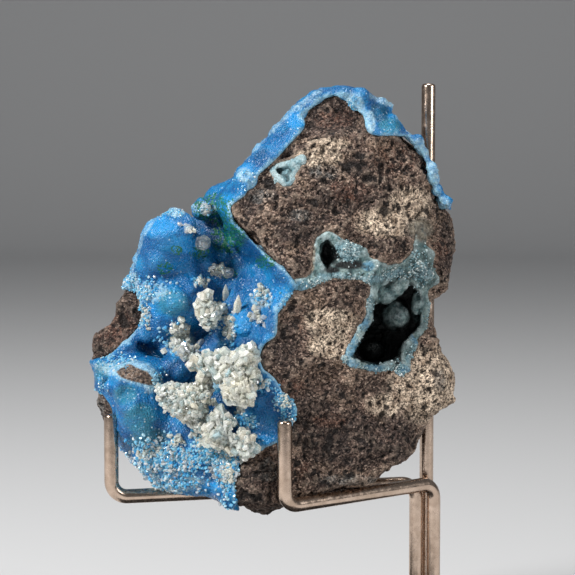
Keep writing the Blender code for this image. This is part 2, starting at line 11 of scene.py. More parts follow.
import bmesh
import bpy
import numpy as np
from mathutils import Matrix, Vector, noise
from mathutils.bvhtree import BVHTree


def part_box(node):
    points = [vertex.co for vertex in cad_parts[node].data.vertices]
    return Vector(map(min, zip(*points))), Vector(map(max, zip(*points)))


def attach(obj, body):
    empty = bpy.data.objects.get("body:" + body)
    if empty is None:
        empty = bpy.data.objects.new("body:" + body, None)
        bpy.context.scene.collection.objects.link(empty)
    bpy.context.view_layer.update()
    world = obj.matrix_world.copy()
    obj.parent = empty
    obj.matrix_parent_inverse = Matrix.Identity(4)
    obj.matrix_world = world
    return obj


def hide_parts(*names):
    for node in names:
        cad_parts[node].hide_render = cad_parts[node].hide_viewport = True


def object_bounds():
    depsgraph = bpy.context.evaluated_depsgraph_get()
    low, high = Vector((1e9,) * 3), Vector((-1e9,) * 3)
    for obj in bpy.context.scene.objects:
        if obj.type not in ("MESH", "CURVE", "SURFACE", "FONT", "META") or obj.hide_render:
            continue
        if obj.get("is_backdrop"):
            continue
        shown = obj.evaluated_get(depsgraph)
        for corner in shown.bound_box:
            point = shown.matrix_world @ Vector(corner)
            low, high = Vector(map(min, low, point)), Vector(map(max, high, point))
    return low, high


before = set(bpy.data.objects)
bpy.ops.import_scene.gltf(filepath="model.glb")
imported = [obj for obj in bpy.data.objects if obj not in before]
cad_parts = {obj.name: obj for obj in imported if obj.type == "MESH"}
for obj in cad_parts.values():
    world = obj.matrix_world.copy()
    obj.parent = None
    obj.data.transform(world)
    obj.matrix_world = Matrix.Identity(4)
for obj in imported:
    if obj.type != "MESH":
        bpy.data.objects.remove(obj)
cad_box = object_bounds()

MM = 0.001
scene = bpy.context.scene
print("the solids:", ", ".join(sorted(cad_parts)))

# %% [markdown]
# ## The camera
# The two bent arms lie level, and their slopes in the picture give the camera's height: it
# looks down on the stone by about five degrees, from 0.6 m away. A long lens keeps that
# mild perspective. The same numbers give helpers that later put heads, crystals and colours
# in their places: where a point shows in the square view, which point shows at a place in
# that view, and where the line of sight through it meets a solid.

# %% The camera
VIEW_DISTANCE = 600 * MM
VIEW_ELEVATION = math.radians(5)
VIEW_TARGET = Vector((0, 0, 109 * MM))
VIEW_MIDDLE = 287.5
VIEW_STEP = 0.28 * MM

forward = Vector((0, math.cos(VIEW_ELEVATION), -math.sin(VIEW_ELEVATION)))
upward = Vector((0, math.sin(VIEW_ELEVATION), math.cos(VIEW_ELEVATION)))
eye = VIEW_TARGET - forward * VIEW_DISTANCE

lens = bpy.data.cameras.new("camera")
lens.lens = lens.sensor_width / 2 * VIEW_DISTANCE / (VIEW_MIDDLE * VIEW_STEP)
lens.clip_start = 10 * MM
camera = bpy.data.objects.new("camera", lens)
camera.location = eye
camera.rotation_euler = forward.to_track_quat("-Z", "Y").to_euler()
scene.collection.objects.link(camera)
scene.camera = camera


def seen_at(points):
    """Where points show in the square view, as columns u and v."""
    offset = points - np.array(eye)
    depth = offset @ np.array(forward)
    scale = VIEW_DISTANCE / VIEW_STEP / depth
    return np.column_stack((VIEW_MIDDLE + offset[:, 0] * scale,
                            VIEW_MIDDLE - offset @ np.array(upward) * scale))


def in_view(u, v, depth):
    """The place at that y that shows at (u, v)."""
    across = (u - VIEW_MIDDLE) * VIEW_STEP / VIEW_DISTANCE
    above = (VIEW_MIDDLE - v) * VIEW_STEP / VIEW_DISTANCE
    ray = forward + Vector((across, 0, 0)) + upward * above
    return eye + ray * ((depth - eye.y) / ray.y)


print("lens of", round(lens.lens), "mm")

# %% Where lines of sight meet the solids


def tree_of(mesh):
    """A search tree over a mesh's faces."""
    return BVHTree.FromPolygons([v.co for v in mesh.vertices], [p.vertices[:] for p in mesh.polygons])


def on_node(node, u, v):
    """The place where the line of sight through (u, v) meets the node's solid."""
    return tree_of(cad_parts[node].data).ray_cast(eye, in_view(u, v, 0) - eye)[0]


def lumps_on(node, table, sunk):
    """Balls (place, radius) where rows of u, v and radius in mm meet a node, sunk by that share."""
    found = [(on_node(node, u, v), radius * MM) for u, v, radius in table]
    met = [(place, radius) for place, radius in found if place is not None]
    print(len(met), "of", len(found), "balls meet", node)
    return [(place + forward * radius * sunk, radius) for place, radius in met]


# %% [markdown]
# ## The sweep and the lights
# A studio photographs small things on a sweep: a floor that curves up into a wall, so no
# line shows behind the object. The floor is one grid, spin turns its back edge up through a
# quarter circle, and an extrusion makes the wall. Two large soft lights stand left and
# right of the camera, as the two bright bands on each rod show, and one hangs above.

# %% The sweep
SWEEP_HALF = 1.6
SWEEP_BEND = 0.5


def object_from(bm, name):
    """A scene object that holds the bmesh."""
    mesh = bpy.data.meshes.new(name)
    bm.to_mesh(mesh)
    bm.free()
    made = bpy.data.objects.new(name, mesh)
    scene.collection.objects.link(made)
    return made


bm = bmesh.new()
bmesh.ops.create_grid(bm, x_segments=1, y_segments=1, size=SWEEP_HALF)
back = [e for e in bm.edges if all(v.co.y > 0 for v in e.verts)]
turned = bmesh.ops.spin(
    bm, geom=back + list(back[0].verts), cent=(0, SWEEP_HALF, SWEEP_BEND), axis=(1, 0, 0),
    angle=math.radians(90), steps=16,
)
edge = [g for g in turned["geom_last"] if isinstance(g, bmesh.types.BMEdge)]
wall = bmesh.ops.extrude_edge_only(bm, edges=edge)
rise = [g for g in wall["geom"] if isinstance(g, bmesh.types.BMVert)]
bmesh.ops.translate(bm, verts=rise, vec=(0, 0, SWEEP_HALF))
sweep = object_from(bm, "sweep")
sweep.data.shade_smooth()
sweep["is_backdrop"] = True

paper = bpy.data.materials.new("sweep_paper")
paper.use_nodes = True
paper.node_tree.nodes["Principled BSDF"].inputs["Base Color"].default_value = (0.62, 0.62, 0.62, 1)
paper.node_tree.nodes["Principled BSDF"].inputs["Roughness"].default_value = 0.9
sweep.data.materials.append(paper)

# %% The lights


def soft_light(name, place, size, watts, colour=(1, 1, 1)):
    """A square area light that faces the stone."""
    data = bpy.data.lights.new(name, "AREA")
    data.size = size
    data.energy = watts
    data.color = colour
    lamp = bpy.data.objects.new(name, data)
    lamp.location = place
    lamp.rotation_euler = (VIEW_TARGET - Vector(place)).to_track_quat("-Z", "Y").to_euler()
    scene.collection.objects.link(lamp)


soft_light("left_light", (-0.7, -0.5, 0.7), 0.28, 12.5)
soft_light("right_light", (0.85, -0.45, 0.45), 0.35, 4.5)
soft_light("top_light", (0.05, 0.1, 1.0), 0.4, 4)

world = bpy.data.worlds.new("studio")
world.use_nodes = True
world.node_tree.nodes["Background"].inputs["Color"].default_value = (0.92, 0.95, 1, 1)
world.node_tree.nodes["Background"].inputs["Strength"].default_value = 0.12
scene.world = world
scene.view_settings.view_transform = "Standard"

# %% [markdown]
# ## Tools for grown surfaces
# A faceted solid becomes a mineral surface in three moves. A voxel remesh gives a copy of
# the solid, and balls that are sunk in it, one even, fine skin. Noise then moves each point
# of the skin along its normal, coarse forms first, and not where the solid touches another
# one. Last, numbers are stored on the points, such as how far a point stands out and how
# open the space in front of it is, and the materials read them as attributes. Sculpting by
# hand could do the same, but noise is the same on every run.

# %% Skins


def applied(piece):
    """Replaces the piece's mesh by what its modifiers make of it."""
    graph = bpy.context.evaluated_depsgraph_get()
    made = bpy.data.meshes.new_from_object(piece.evaluated_get(graph))
    piece.modifiers.clear()
    piece.data = made
    return piece


def skin_of(node, name, voxel, soften, grow=0.0, lumps=(), rounded=0):
    """An even, fine skin over a welded copy of the node, and over balls sunk into it."""
    bm = bmesh.new()
    bm.from_mesh(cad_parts[node].data)
    bmesh.ops.remove_doubles(bm, verts=bm.verts, dist=0.001 * MM)
    bm.normal_update()
    for vertex, out in [(v, v.normal * grow) for v in bm.verts]:
        vertex.co += out
    for place, radius in lumps:
        ball = Matrix.Translation(place)
        bmesh.ops.create_icosphere(bm, subdivisions=2, radius=radius, matrix=ball)
    piece = object_from(bm, name)
    if rounded:
        curved = piece.modifiers.new("Rounded facets", "SUBSURF")
        curved.levels = curved.render_levels = rounded
    remesh = piece.modifiers.new("Even skin", "REMESH")
    remesh.mode = "VOXEL"
    remesh.voxel_size = voxel
    smooth = piece.modifiers.new("Soften", "SMOOTH")
    smooth.iterations = soften
    return applied(piece)


def places(mesh):
    """The points of a mesh as rows."""
    rows = np.empty(len(mesh.vertices) * 3)
    mesh.vertices.foreach_get("co", rows)
    return rows.reshape(-1, 3)


def outward(mesh):
    """The normals at the points of a mesh as rows."""
    rows = np.empty(len(mesh.vertices) * 3)
    mesh.vertices.foreach_get("normal", rows)
    return rows.reshape(-1, 3)


def shift(mesh, distances):
    """Moves each point along its normal by its distance."""
    moved = places(mesh) + outward(mesh) * distances[:, None]
    mesh.vertices.foreach_set("co", moved.ravel())
    mesh.update()


def store(mesh, name, values):
    """Keeps a number for each point, for a material to read."""
    mesh.attributes.new(name, "FLOAT", "POINT").data.foreach_set("value", values)


def averaged(mesh, rows, rounds):
    """Each point's rows averaged over its neighbours, again and again."""
    ends = np.empty(len(mesh.edges) * 2, dtype=np.int32)
    mesh.edges.foreach_get("vertices", ends)
    a, b = ends.reshape(-1, 2).T
    count = len(mesh.vertices)
    share = 1 / np.maximum(np.bincount(a, minlength=count) + np.bincount(b, minlength=count), 1)
    for _ in range(rounds):
        sums = [np.bincount(a, column[b], count) + np.bincount(b, column[a], count) for column in rows.T]
        rows = np.column_stack(sums) * share[:, None]
    return rows


def bulge(mesh, rounds, full):
    """1 on heads and ridges, -1 in grooves: how far the skin stands out of its smoothed self."""
    points = places(mesh)
    height = ((points - averaged(mesh, points, rounds)) * outward(mesh)).sum(axis=1)
    return np.clip(height / full, -1, 1)


def contact(points, nodes, near, far):
    """1 where a point is nearer than near to one of those solids, and 0 past far."""
    gap = np.full(len(points), far)
    for node in nodes:
        tree = tree_of(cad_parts[node].data)
        found = [tree.find_nearest(Vector(point), far)[3] for point in points]
        gap = np.minimum(gap, [far if distance is None else distance for distance in found])
    return 1 - smooth_step(gap, near, far)


RAY_LIFT = 0.3 * MM
RAY_SPREAD = 1.05


def openness(mesh, reach, rays=12):
    """The share of rays from each point that leave it without meeting the skin within the reach."""
    points, out = places(mesh), outward(mesh)
    tree = tree_of(mesh)
    free = np.zeros(len(points))
    pick = np.random.default_rng(17)
    for i, (point, normal) in enumerate(zip(points, out)):
        start = Vector(point + normal * RAY_LIFT)
        aims = pick.normal(size=(rays, 3))
        aims = aims / np.linalg.norm(aims, axis=1)[:, None] + normal * RAY_SPREAD
        free[i] = sum(tree.ray_cast(start, aim, reach)[0] is None for aim in aims.tolist())
    return averaged(mesh, free[:, None] / rays, 2)[:, 0]


# %% [markdown]
# ## Noise, and places in the view
# Clouds and round heads of any size come from Blender's own noise. What isn't random is
# given in the square view: a spot is a row of u, v, half width and half height, and a path
# or an outline is a list of u, v. Painting by hand would do too, but a row can be moved.

# %% Noises


def cloudy(points, size, octaves, seed):
    """Soft noise from about -1 to 1, with forms of that size."""
    start = Vector((7.3, 3.1, 5.7)) * seed
    return np.array([noise.fractal(Vector(p) / size + start, 0.9, 2.0, octaves) for p in points])


def heads(points, size, seed):
    """Round heads about that far apart: 1 on top, and 0 in the grooves between them."""
    start = Vector((2.9, 8.3, 4.1)) * seed
    near = np.array([noise.voronoi(Vector(p) / size + start)[0][0] for p in points])
    return np.sqrt(np.clip(1 - (near / 0.85) ** 2, 0, 1))


def smooth_step(values, low, high):
    """0 below low, 1 above high, and a soft change between them."""
    t = np.clip((values - low) / (high - low), 0, 1)
    return t * t * (3 - 2 * t)


# %% Spots, paths and outlines


def near_path(seen, path):
    """How far each seen place is from a path in the view, in steps of the view."""
    best = np.full(len(seen), 1e9)
    for start, end in zip(path, path[1:]):
        start, along = np.array(start, float), np.subtract(end, start)
        t = np.clip((seen - start) @ along / (along @ along), 0, 1)
        best = np.minimum(best, np.linalg.norm(seen - start - t[:, None] * along, axis=1))
    return best


def in_spots(seen, spots):
    """1 in the middle of each spot, and 0 outside."""
    most = np.zeros(len(seen))
    for u, v, half_u, half_v in spots:
        r = np.hypot((seen[:, 0] - u) / half_u, (seen[:, 1] - v) / half_v)
        most = np.maximum(most, 1 - smooth_step(r, 0.5, 1.2))
    return most


def inside(seen, outline):
    """1 where a seen place lies inside the outline, and 0 elsewhere."""
    u, v = seen.T
    crossings = np.zeros(len(seen), dtype=int)
    for (u0, v0), (u1, v1) in zip(outline, outline[1:] + outline[:1]):
        if v0 != v1:
            crossings += ((v0 > v) != (v1 > v)) & (u < u0 + (v - v0) * (u1 - u0) / (v1 - v0))
    return (crossings % 2).astype(float)


# %% [markdown]
# ## A small kit for materials
# Each finish below is a Principled shader with noise behind its colour, roughness and bump.
# Written out socket by socket, such a tree is long, so this class keeps the tree and adds
# one node for each call. Patterns read Object coordinates, which are metres here.

# %% The material kit


class Finish:
    """A material and the calls that grow its node tree."""

    def __init__(self, name, colour, roughness):
        self.material = bpy.data.materials.new(name)
        self.material.use_nodes = True
        self.material.diffuse_color = (*colour, 1)
        self.tree = self.material.node_tree
        self.shader = self.tree.nodes["Principled BSDF"]
        self.shader.inputs["Base Color"].default_value = (*colour, 1)
        self.shader.inputs["Roughness"].default_value = roughness
        self.where = self.tree.nodes.new("ShaderNodeTexCoord").outputs["Object"]

    def node(self, kind, inputs, **settings):
        """A new node with those inputs and settings."""
        made = self.tree.nodes.new(kind)
        for name, value in settings.items():
            setattr(made, name, value)
        for name, value in inputs.items():
            self.feed(made.inputs[name], value)
        return made

    def feed(self, socket, value):
        """Links a socket to the value, or sets the value on it."""
        if isinstance(value, bpy.types.NodeSocket):
            self.tree.links.new(value, socket)
        else:
            socket.default_value = value

    def clouds(self, size, detail=3.0, distortion=0.0):
        """Noise with forms of that size in metres, from 0 to 1."""
        inputs = {"Vector": self.where, "Scale": 1 / size, "Detail": detail, "Distortion": distortion}
        return self.node("ShaderNodeTexNoise", inputs).outputs["Fac"]

    def grains(self, size, out="Distance", feature="F1"):
        """Cells of that size in metres: the distance to a cell's middle, or its own colour."""
        inputs = {"Vector": self.where, "Scale": 1 / size}
        return self.node("ShaderNodeTexVoronoi", inputs, feature=feature).outputs[out]

    def chance(self, size, channel="Red"):
        """A random number from 0 to 1 for each cell of that size."""
        colours = self.grains(size, out="Color")
        return self.node("ShaderNodeSeparateColor", {"Color": colours}).outputs[channel]

    def speckle(self, size, share):
        """1 on that share of the cells of the size, picked at random, and 0 on the others."""
        return self.ramp(self.chance(size), (1 - share - 0.02, 0.0), (1 - share, 1.0))

    def stored(self, name):
        """A number that the mesh keeps for its points."""
        return self.node("ShaderNodeAttribute", {}, attribute_name=name).outputs["Fac"]

    def ramp(self, value, *stops):
        """Colours or greys by value, from stops of (position, colour or grey)."""
        made = self.node("ShaderNodeValToRGB", {"Fac": value})
        steps = made.color_ramp.elements
        while len(steps) < len(stops):
            steps.new(0.5)
        for step, (position, colour) in zip(steps, stops):
            step.position = position
            step.color = (*colour, 1) if isinstance(colour, tuple) else (colour, colour, colour, 1)
        return made.outputs["Color"]

    def mix(self, amount, first, second, blend="MIX"):
        """The first colour, with that amount of the second."""
        made = self.node("ShaderNodeMix", {}, data_type="RGBA", blend_type=blend)
        self.feed(made.inputs[0], amount)
        for socket, value in ((made.inputs[6], first), (made.inputs[7], second)):
            self.feed(socket, (*value, 1) if isinstance(value, tuple) else value)
        return made.outputs[2]

    def sum(self, first, second, operation="ADD"):
        """The sum of two numbers, or what the operation makes of them."""
        made = self.node("ShaderNodeMath", {}, operation=operation)
        self.feed(made.inputs[0], first)
        self.feed(made.inputs[1], second)
        return made.outputs[0]

    def zone(self, colour, name, tone, pattern, low, high, most):
        """The colour, with the tone where a stored zone shows through a pattern."""
        amount = self.sum(self.stored(name), pattern, "MULTIPLY")
        return self.mix(self.ramp(amount, (low, 0.0), (high, most)), colour, tone)

    def bump(self, height, depth, strength=1.0):
        """Bumps of that depth in metres."""
        inputs = {"Height": height, "Distance": depth, "Strength": strength}
        made = self.node("ShaderNodeBump", inputs)
        self.feed(self.shader.inputs["Normal"], made.outputs["Normal"])

    def set(self, **values):
        """Sets or links the shader's sockets, named with _ for a space."""
        for name, value in values.items():
            self.feed(self.shader.inputs[name.replace("_", " ")], value)


def give(piece, finish, nodes=()):
    """Puts the finish on the piece, which rides on the stone in the place of those solids."""
    piece.data.materials.clear()
    piece.data.materials.append(finish.material)
    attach(piece, "root")
    if nodes:
        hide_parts(*nodes)
    print(piece.name, len(piece.data.polygons), "faces")


# %% [markdown]
# ## The gossan
# Gossan is what rust leaves of an ore: a brown, crumbly mass of iron oxides with pores,
# tan clay and red spots. Its broken face is rough at every size. Coarse noise breaks up the
# solid's facets, round grains stand out by a few tenths of a millimetre, and pores sink in.
# A displaced skin throws real shadows in the pores, which bump alone wouldn't, and painted
# shade adds to them: the pores are painted near black, and the crevices darker. Spots say
# where the clay, the rust and the dark oxides lie, and noise frays their edges.

# %% The gossan's sizes and zones
ROCK_VOXEL = 0.64 * MM
ROCK_REACH = 5 * MM
ROCK_FRONT = 4 * MM
SEAT_SWELL = 0.3 * MM
DIMPLE_DEPTH = 2.2 * MM
PORE_DEPTH = 0.8 * MM
ROCK_TAN = [
    (430, 385, 50, 46), (330, 322, 34, 16), (318, 158, 30, 12), (385, 223, 36, 18),
    (410, 205, 26, 22), (328, 144, 26, 7), (385, 405, 22, 14), (330, 345, 26, 16),
]
ROCK_DARK = [
    (328, 112, 42, 32), (345, 200, 40, 16), (300, 232, 30, 14), (300, 415, 40, 34),
    (350, 440, 56, 36), (262, 490, 34, 34), (112, 330, 60, 60), (100, 400, 26, 34),
    (395, 440, 26, 26), (285, 345, 14, 26), (250, 205, 14, 14), (360, 165, 22, 14),
    (446, 250, 10, 40),
]
ROCK_RED = [
    (115, 330, 26, 26), (290, 388, 22, 12), (330, 420, 24, 10), (395, 160, 34, 22),
    (350, 190, 26, 16), (335, 118, 24, 14), (300, 470, 14, 12), (440, 250, 10, 18),
    (300, 325, 10, 12),
]
ROCK_GREY = [
    (268, 470, 13, 16), (262, 196, 22, 10), (325, 172, 22, 10), (98, 400, 10, 26),
    (350, 480, 40, 8), (420, 228, 20, 14), (300, 215, 18, 8), (440, 380, 8, 16),
]
DIMPLE = (422, 229, 13, 12)

# %% The gossan's skin
rock = skin_of("matrix", "gossan", ROCK_VOXEL, soften=2)
points = places(rock.data)
pores = smooth_step(cloudy(points, 1.3 * MM, 2, seed=3), 0.2, 0.6)
pits = smooth_step(cloudy(points, 4.2 * MM, 2, seed=8), 0.3, 0.8)
rise = 0.7 * MM * cloudy(points, 6.5 * MM, 3, seed=1)
rise += 0.4 * MM * (heads(points, 2.3 * MM, seed=2) - 0.6)
rise += 0.3 * MM * cloudy(points, 1.2 * MM, 2, seed=5)
dimple = in_spots(seen_at(points), [DIMPLE]) * (points[:, 1] < ROCK_FRONT)
rise = (rise - PORE_DEPTH * pores - PORE_DEPTH * pits) * (1 - 0.8 * dimple) - DIMPLE_DEPTH * dimple
seated = contact(points, ["blue_crust", "vug_lining", "pocket_lining"], 0.4 * MM, 1.5 * MM)
fine = 0.2 * MM * cloudy(points, 0.9 * MM, 2, seed=6)
shift(rock.data, rise * (1 - seated) + (SEAT_SWELL + fine) * seated)

seen = seen_at(places(rock.data))
store(rock.data, "pore", np.maximum(pores, 0.7 * pits) * (1 - dimple) * (1 - seated))
store(rock.data, "edge", bulge(rock.data, 6, 0.35 * MM))
store(rock.data, "open", openness(rock.data, ROCK_REACH))
store(rock.data, "dimple", dimple)
for name, spots in (("tan", ROCK_TAN), ("dark", ROCK_DARK), ("red", ROCK_RED), ("grey", ROCK_GREY)):
    store(rock.data, name, in_spots(seen, spots))
rock.data.shade_smooth()

# %% The gossan's finish
gossan = Finish("gossan", (0.2, 0.13, 0.09), 0.85)
colour = gossan.ramp(gossan.clouds(7 * MM, 5, 0.6), (0.34, (0.06, 0.036, 0.028)),
                     (0.5, (0.16, 0.1, 0.075)), (0.66, (0.3, 0.2, 0.14)))
tan = gossan.ramp(gossan.clouds(2.6 * MM, 4), (0.35, (0.4, 0.29, 0.2)), (0.6, (1.0, 0.8, 0.6)))
dark = gossan.ramp(gossan.clouds(2.4 * MM, 4), (0.35, (0.025, 0.015, 0.013)), (0.65, (0.11, 0.068, 0.053)))
red = gossan.ramp(gossan.clouds(1.8 * MM, 4), (0.35, (0.07, 0.035, 0.026)), (0.7, (0.26, 0.1, 0.055)))
grey = gossan.ramp(gossan.clouds(1.8 * MM, 4), (0.35, (0.08, 0.08, 0.075)), (0.65, (0.3, 0.32, 0.31)))
patch = gossan.clouds(3.2 * MM, 5, 0.5)
for name, tone, low, high, most in (
    ("dark", dark, 0.08, 0.4, 0.92), ("tan", tan, 0.15, 0.45, 0.9),
    ("red", red, 0.2, 0.6, 0.6), ("grey", grey, 0.25, 0.6, 0.7),
):
    colour = gossan.zone(colour, name, tone, patch, low, high, most)

# %% The gossan's grain
speck = gossan.chance(0.46 * MM)
grain = gossan.ramp(speck, (0.0, 0.1), (0.3, 0.22), (0.45, 0.75), (0.75, 1.15))
colour = gossan.mix(0.9, colour, grain, "MULTIPLY")
shy = gossan.ramp(gossan.stored("dark"), (0.0, 1.0), (1.0, 0.45))
pale_grains = gossan.sum(gossan.ramp(speck, (0.78, 0.0), (1.0, 0.6)), shy, "MULTIPLY")
colour = gossan.mix(pale_grains, colour, (0.68, 0.5, 0.38))
fine = gossan.ramp(gossan.clouds(0.36 * MM, 2), (0.4, 0.35), (0.52, 1.15))
colour = gossan.mix(0.8, colour, fine, "MULTIPLY")
# painted shade: the pores and pits are painted near black
pore_shade = gossan.ramp(gossan.stored("pore"), (0.1, 0.0), (0.6, 0.9))
colour = gossan.mix(pore_shade, colour, (0.012, 0.009, 0.008))
# painted shade: the rock is darker where little of the space in front of it is open
crevice_shade = gossan.ramp(gossan.stored("open"), (0.35, 0.35), (0.75, 1.0))
colour = gossan.mix(1.0, colour, crevice_shade, "MULTIPLY")
ridges = gossan.sum(gossan.ramp(gossan.stored("edge"), (0.3, 0.0), (1.0, 0.3)), shy, "MULTIPLY")
colour = gossan.mix(ridges, colour, (0.55, 0.42, 0.32))
ochre = gossan.ramp(gossan.clouds(2.5 * MM, 3), (0.35, (0.13, 0.11, 0.08)), (0.65, (0.38, 0.33, 0.25)))
colour = gossan.mix(gossan.stored("dimple"), colour, ochre)
gossan.set(Base_Color=colour, Specular_IOR_Level=0.4,
           Roughness=gossan.ramp(speck, (0.2, 0.95), (0.9, 0.45)))
gossan.bump(gossan.sum(gossan.clouds(0.5 * MM, 4), gossan.grains(0.8 * MM)), 0.5 * MM, 1.0)
give(rock, gossan, ["matrix"])

# %% [markdown]
# ## The blue crust
# Hemimorphite crusts grow as sheaves of tiny crystals that fan out from a point, so their
# outside is botryoidal: round heads that press against each other, with sharp grooves
# between them. The solid has the largest lobes. The heads that someone would recognise are
# given one by one, as balls that lines of sight put on the solid, with a few milky lumps that
# stand out of the blue. Smaller balls are scattered, thick along the edges, and the noise
# adds two more sizes of heads. The stone is waxy because light enters it, so the finish
# scatters light below the surface. An island of rock that the crust grew round is a patch
# that sinks a little and takes the rock's colours.

# %% Where the crust meets the broken rock
CRUST_EDGE = [
    (445, 212), (438, 198), (431, 181), (425, 160), (418, 148), (408, 137), (396, 136), (378, 136),
    (365, 133), (366, 124), (363, 113), (349, 108), (346, 95), (332, 95), (319, 101), (309, 110),
    (300, 116), (307, 126), (292, 141), (275, 160), (261, 171), (245, 196), (229, 205), (234, 221),
    (262, 250), (290, 275), (297, 284), (294, 293), (284, 300), (277, 310), (277, 336), (262, 346),
    (259, 359), (262, 368), (277, 380), (283, 394), (297, 405), (297, 416), (290, 431), (278, 443),
    (262, 449), (242, 456), (234, 478), (236, 500),
]
LEFT_EDGE = [(122, 290), (142, 291), (139, 308), (147, 319), (133, 334), (108, 356)]
ISLAND_EDGE = [(114, 370), (128, 363), (150, 372), (156, 386), (140, 384), (122, 378), (114, 370)]
PALE_SPOTS = [
    (150, 292, 22, 12), (140, 316, 12, 12), (130, 280, 12, 12), (112, 368, 16, 10),
    (175, 482, 40, 12), (225, 470, 10, 26), (150, 462, 16, 14), (216, 378, 14, 14),
    (182, 345, 18, 16), (285, 400, 12, 10), (245, 175, 10, 10), (352, 104, 9, 14),
    (368, 124, 9, 16), (392, 102, 12, 6), (420, 150, 14, 14), (432, 175, 10, 20), (443, 205, 8, 12),
    (358, 112, 9, 22), (205, 208, 16, 8), (175, 212, 14, 6), (262, 300, 14, 10), (150, 380, 12, 16),
]
# deeper blue, partly the crust's own tone and partly painted shadow under heads and below the rock's
# pointed tip
DEEP_AND_SHADOW_SPOTS = [
    (147, 347, 18, 11), (205, 336, 16, 12), (222, 402, 18, 13), (250, 345, 18, 9),
    (248, 250, 20, 20), (212, 228, 10, 12), (160, 430, 22, 12), (175, 368, 10, 10),
    (262, 158, 12, 12), (200, 450, 12, 8), (205, 465, 14, 8), (372, 96, 12, 6),
]
# painted shadow: spots darkened to a dark teal-blue under heads and beside the rock's tip
PAINTED_SHADOW_SPOTS = [(379, 112, 11, 11), (150, 438, 22, 12), (240, 232, 12, 16), (226, 345, 10, 8)]
TEAL_SPOTS = [
    (390, 126, 14, 10), (125, 395, 14, 12), (148, 440, 22, 14), (214, 380, 14, 14),
    (102, 372, 10, 14), (172, 303, 20, 16), (140, 418, 20, 18),
]
# brighter blue, partly the crust's own tone and partly painted light on the lit sides of heads
BRIGHT_AND_LIT_SPOTS = [
    (240, 322, 18, 16), (283, 300, 16, 18), (165, 302, 22, 18), (158, 226, 22, 14),
    (185, 245, 20, 10), (246, 176, 10, 14), (300, 120, 16, 12), (390, 128, 10, 7),
    (112, 378, 10, 10), (200, 488, 30, 8), (150, 478, 20, 8), (212, 462, 12, 8), (228, 205, 12, 14),
    (270, 345, 8, 14), (262, 440, 16, 6),
]
# painted light: pale paths along the crust's lit upper edges and silhouettes
LIT_FRINGES = [
    [(203, 207), (190, 208), (172, 208), (155, 216), (143, 235), (136, 256), (131, 275)],
    [(238, 165), (262, 140), (290, 112), (320, 92)],
    [(372, 96), (392, 103), (398, 118)],
    [(95, 365), (112, 368), (130, 360), (150, 368)],
    [(445, 212), (432, 172), (418, 146), (396, 134)],
]
GREEN_SPOTS = [
    (215, 208, 26, 18), (228, 236, 22, 22), (165, 268, 10, 8), (265, 262, 12, 9), (228, 272, 14, 8),
    (207, 392, 8, 8), (200, 252, 14, 8), (176, 250, 8, 6),
]

# %% Scattering places on a skin


def spread(mesh, count, seed, weight):
    """Random places on the faces of a mesh, with their normals, thicker where the weight is large."""
    mesh.calc_loop_triangles()
    corners = np.empty(len(mesh.loop_triangles) * 3, dtype=np.int32)
    mesh.loop_triangles.foreach_get("vertices", corners)
    corners = corners.reshape(-1, 3)
    points, out = places(mesh), outward(mesh)
    a, b, c = (points[corners[:, i]] for i in range(3))
    area = np.linalg.norm(np.cross(b - a, c - a), axis=1)
    chance = area * weight((a + b + c) / 3, out[corners].mean(axis=1))
    pick = np.random.default_rng(seed)
    chosen = pick.choice(len(corners), count, p=chance / chance.sum())
    s, t = np.sqrt(pick.random(count)), pick.random(count)
    shares = np.column_stack((1 - s, s * (1 - t), s * t))
    spots = np.einsum("ij,ijk->ik", shares, points[corners[chosen]])
    normals = np.einsum("ij,ijk->ik", shares, out[corners[chosen]])
    return spots, normals / np.linalg.norm(normals, axis=1)[:, None]


def facing(out):
    """1 for what faces the viewer, and 0 for what faces away."""
    return smooth_step(-(out @ np.array(forward)), -0.1, 0.35)


# %% Large heads and milky lumps

# u, v and radius in mm of the larger heads, and of the milky lumps that stand on the blue
LARGE_HEADS = [
    (246, 181, 3.8), (262, 153, 3.0), (283, 133, 3.6), (299, 112, 2.6), (316, 97, 2.4),
    (345, 93, 2.2), (362, 97, 2.6), (381, 104, 2.2), (391, 122, 2.6), (417, 150, 1.8),
    (427, 168, 1.8), (437, 190, 1.8), (247, 327, 3.8), (262, 272, 3.2), (240, 262, 3.0),
    (203, 262, 3.4), (222, 256, 3.0), (180, 232, 4.0), (164, 238, 4.6), (158, 258, 4.2),
    (176, 300, 5.0), (133, 408, 4.2), (146, 432, 4.4), (252, 303, 2.8), (228, 318, 2.6),
    (262, 398, 3.4), (112, 388, 2.6), (245, 345, 2.6), (180, 372, 3.4), (235, 240, 2.4),
]
MILKY_LUMPS = [
    (204, 243, 2.2), (228, 272, 1.5), (189, 229, 1.2), (206, 210, 1.7), (262, 292, 1.4),
    (223, 271, 1.2),
]
LARGE_SUNK = 0.6
MILKY_SUNK = -0.45
large_heads = lumps_on("blue_crust", LARGE_HEADS, LARGE_SUNK)
milky_lumps = lumps_on("blue_crust", MILKY_LUMPS, MILKY_SUNK)

# %% Small heads, sunk in the crust
CRUST_VOXEL = 0.5 * MM
CRUST_GROWTH = 0.2 * MM
DRAFT_VOXEL = 1.2 * MM
SMALL_HEADS = 360
draft = skin_of("blue_crust", "draft", DRAFT_VOXEL, soften=2)


def from_rock(seen):
    """How far seen places are from the line where the crust meets the rock."""
    paths = (CRUST_EDGE, LEFT_EDGE, ISLAND_EDGE)
    return np.min([near_path(seen, path) for path in paths], axis=0)


def crust_weight(points, out):
    """Small heads grow all over the front, and thickest where the crust is pale."""
    seen = seen_at(points)
    return facing(out) * (0.3 + in_spots(seen, PALE_SPOTS)) * smooth_step(from_rock(seen), 2, 8)


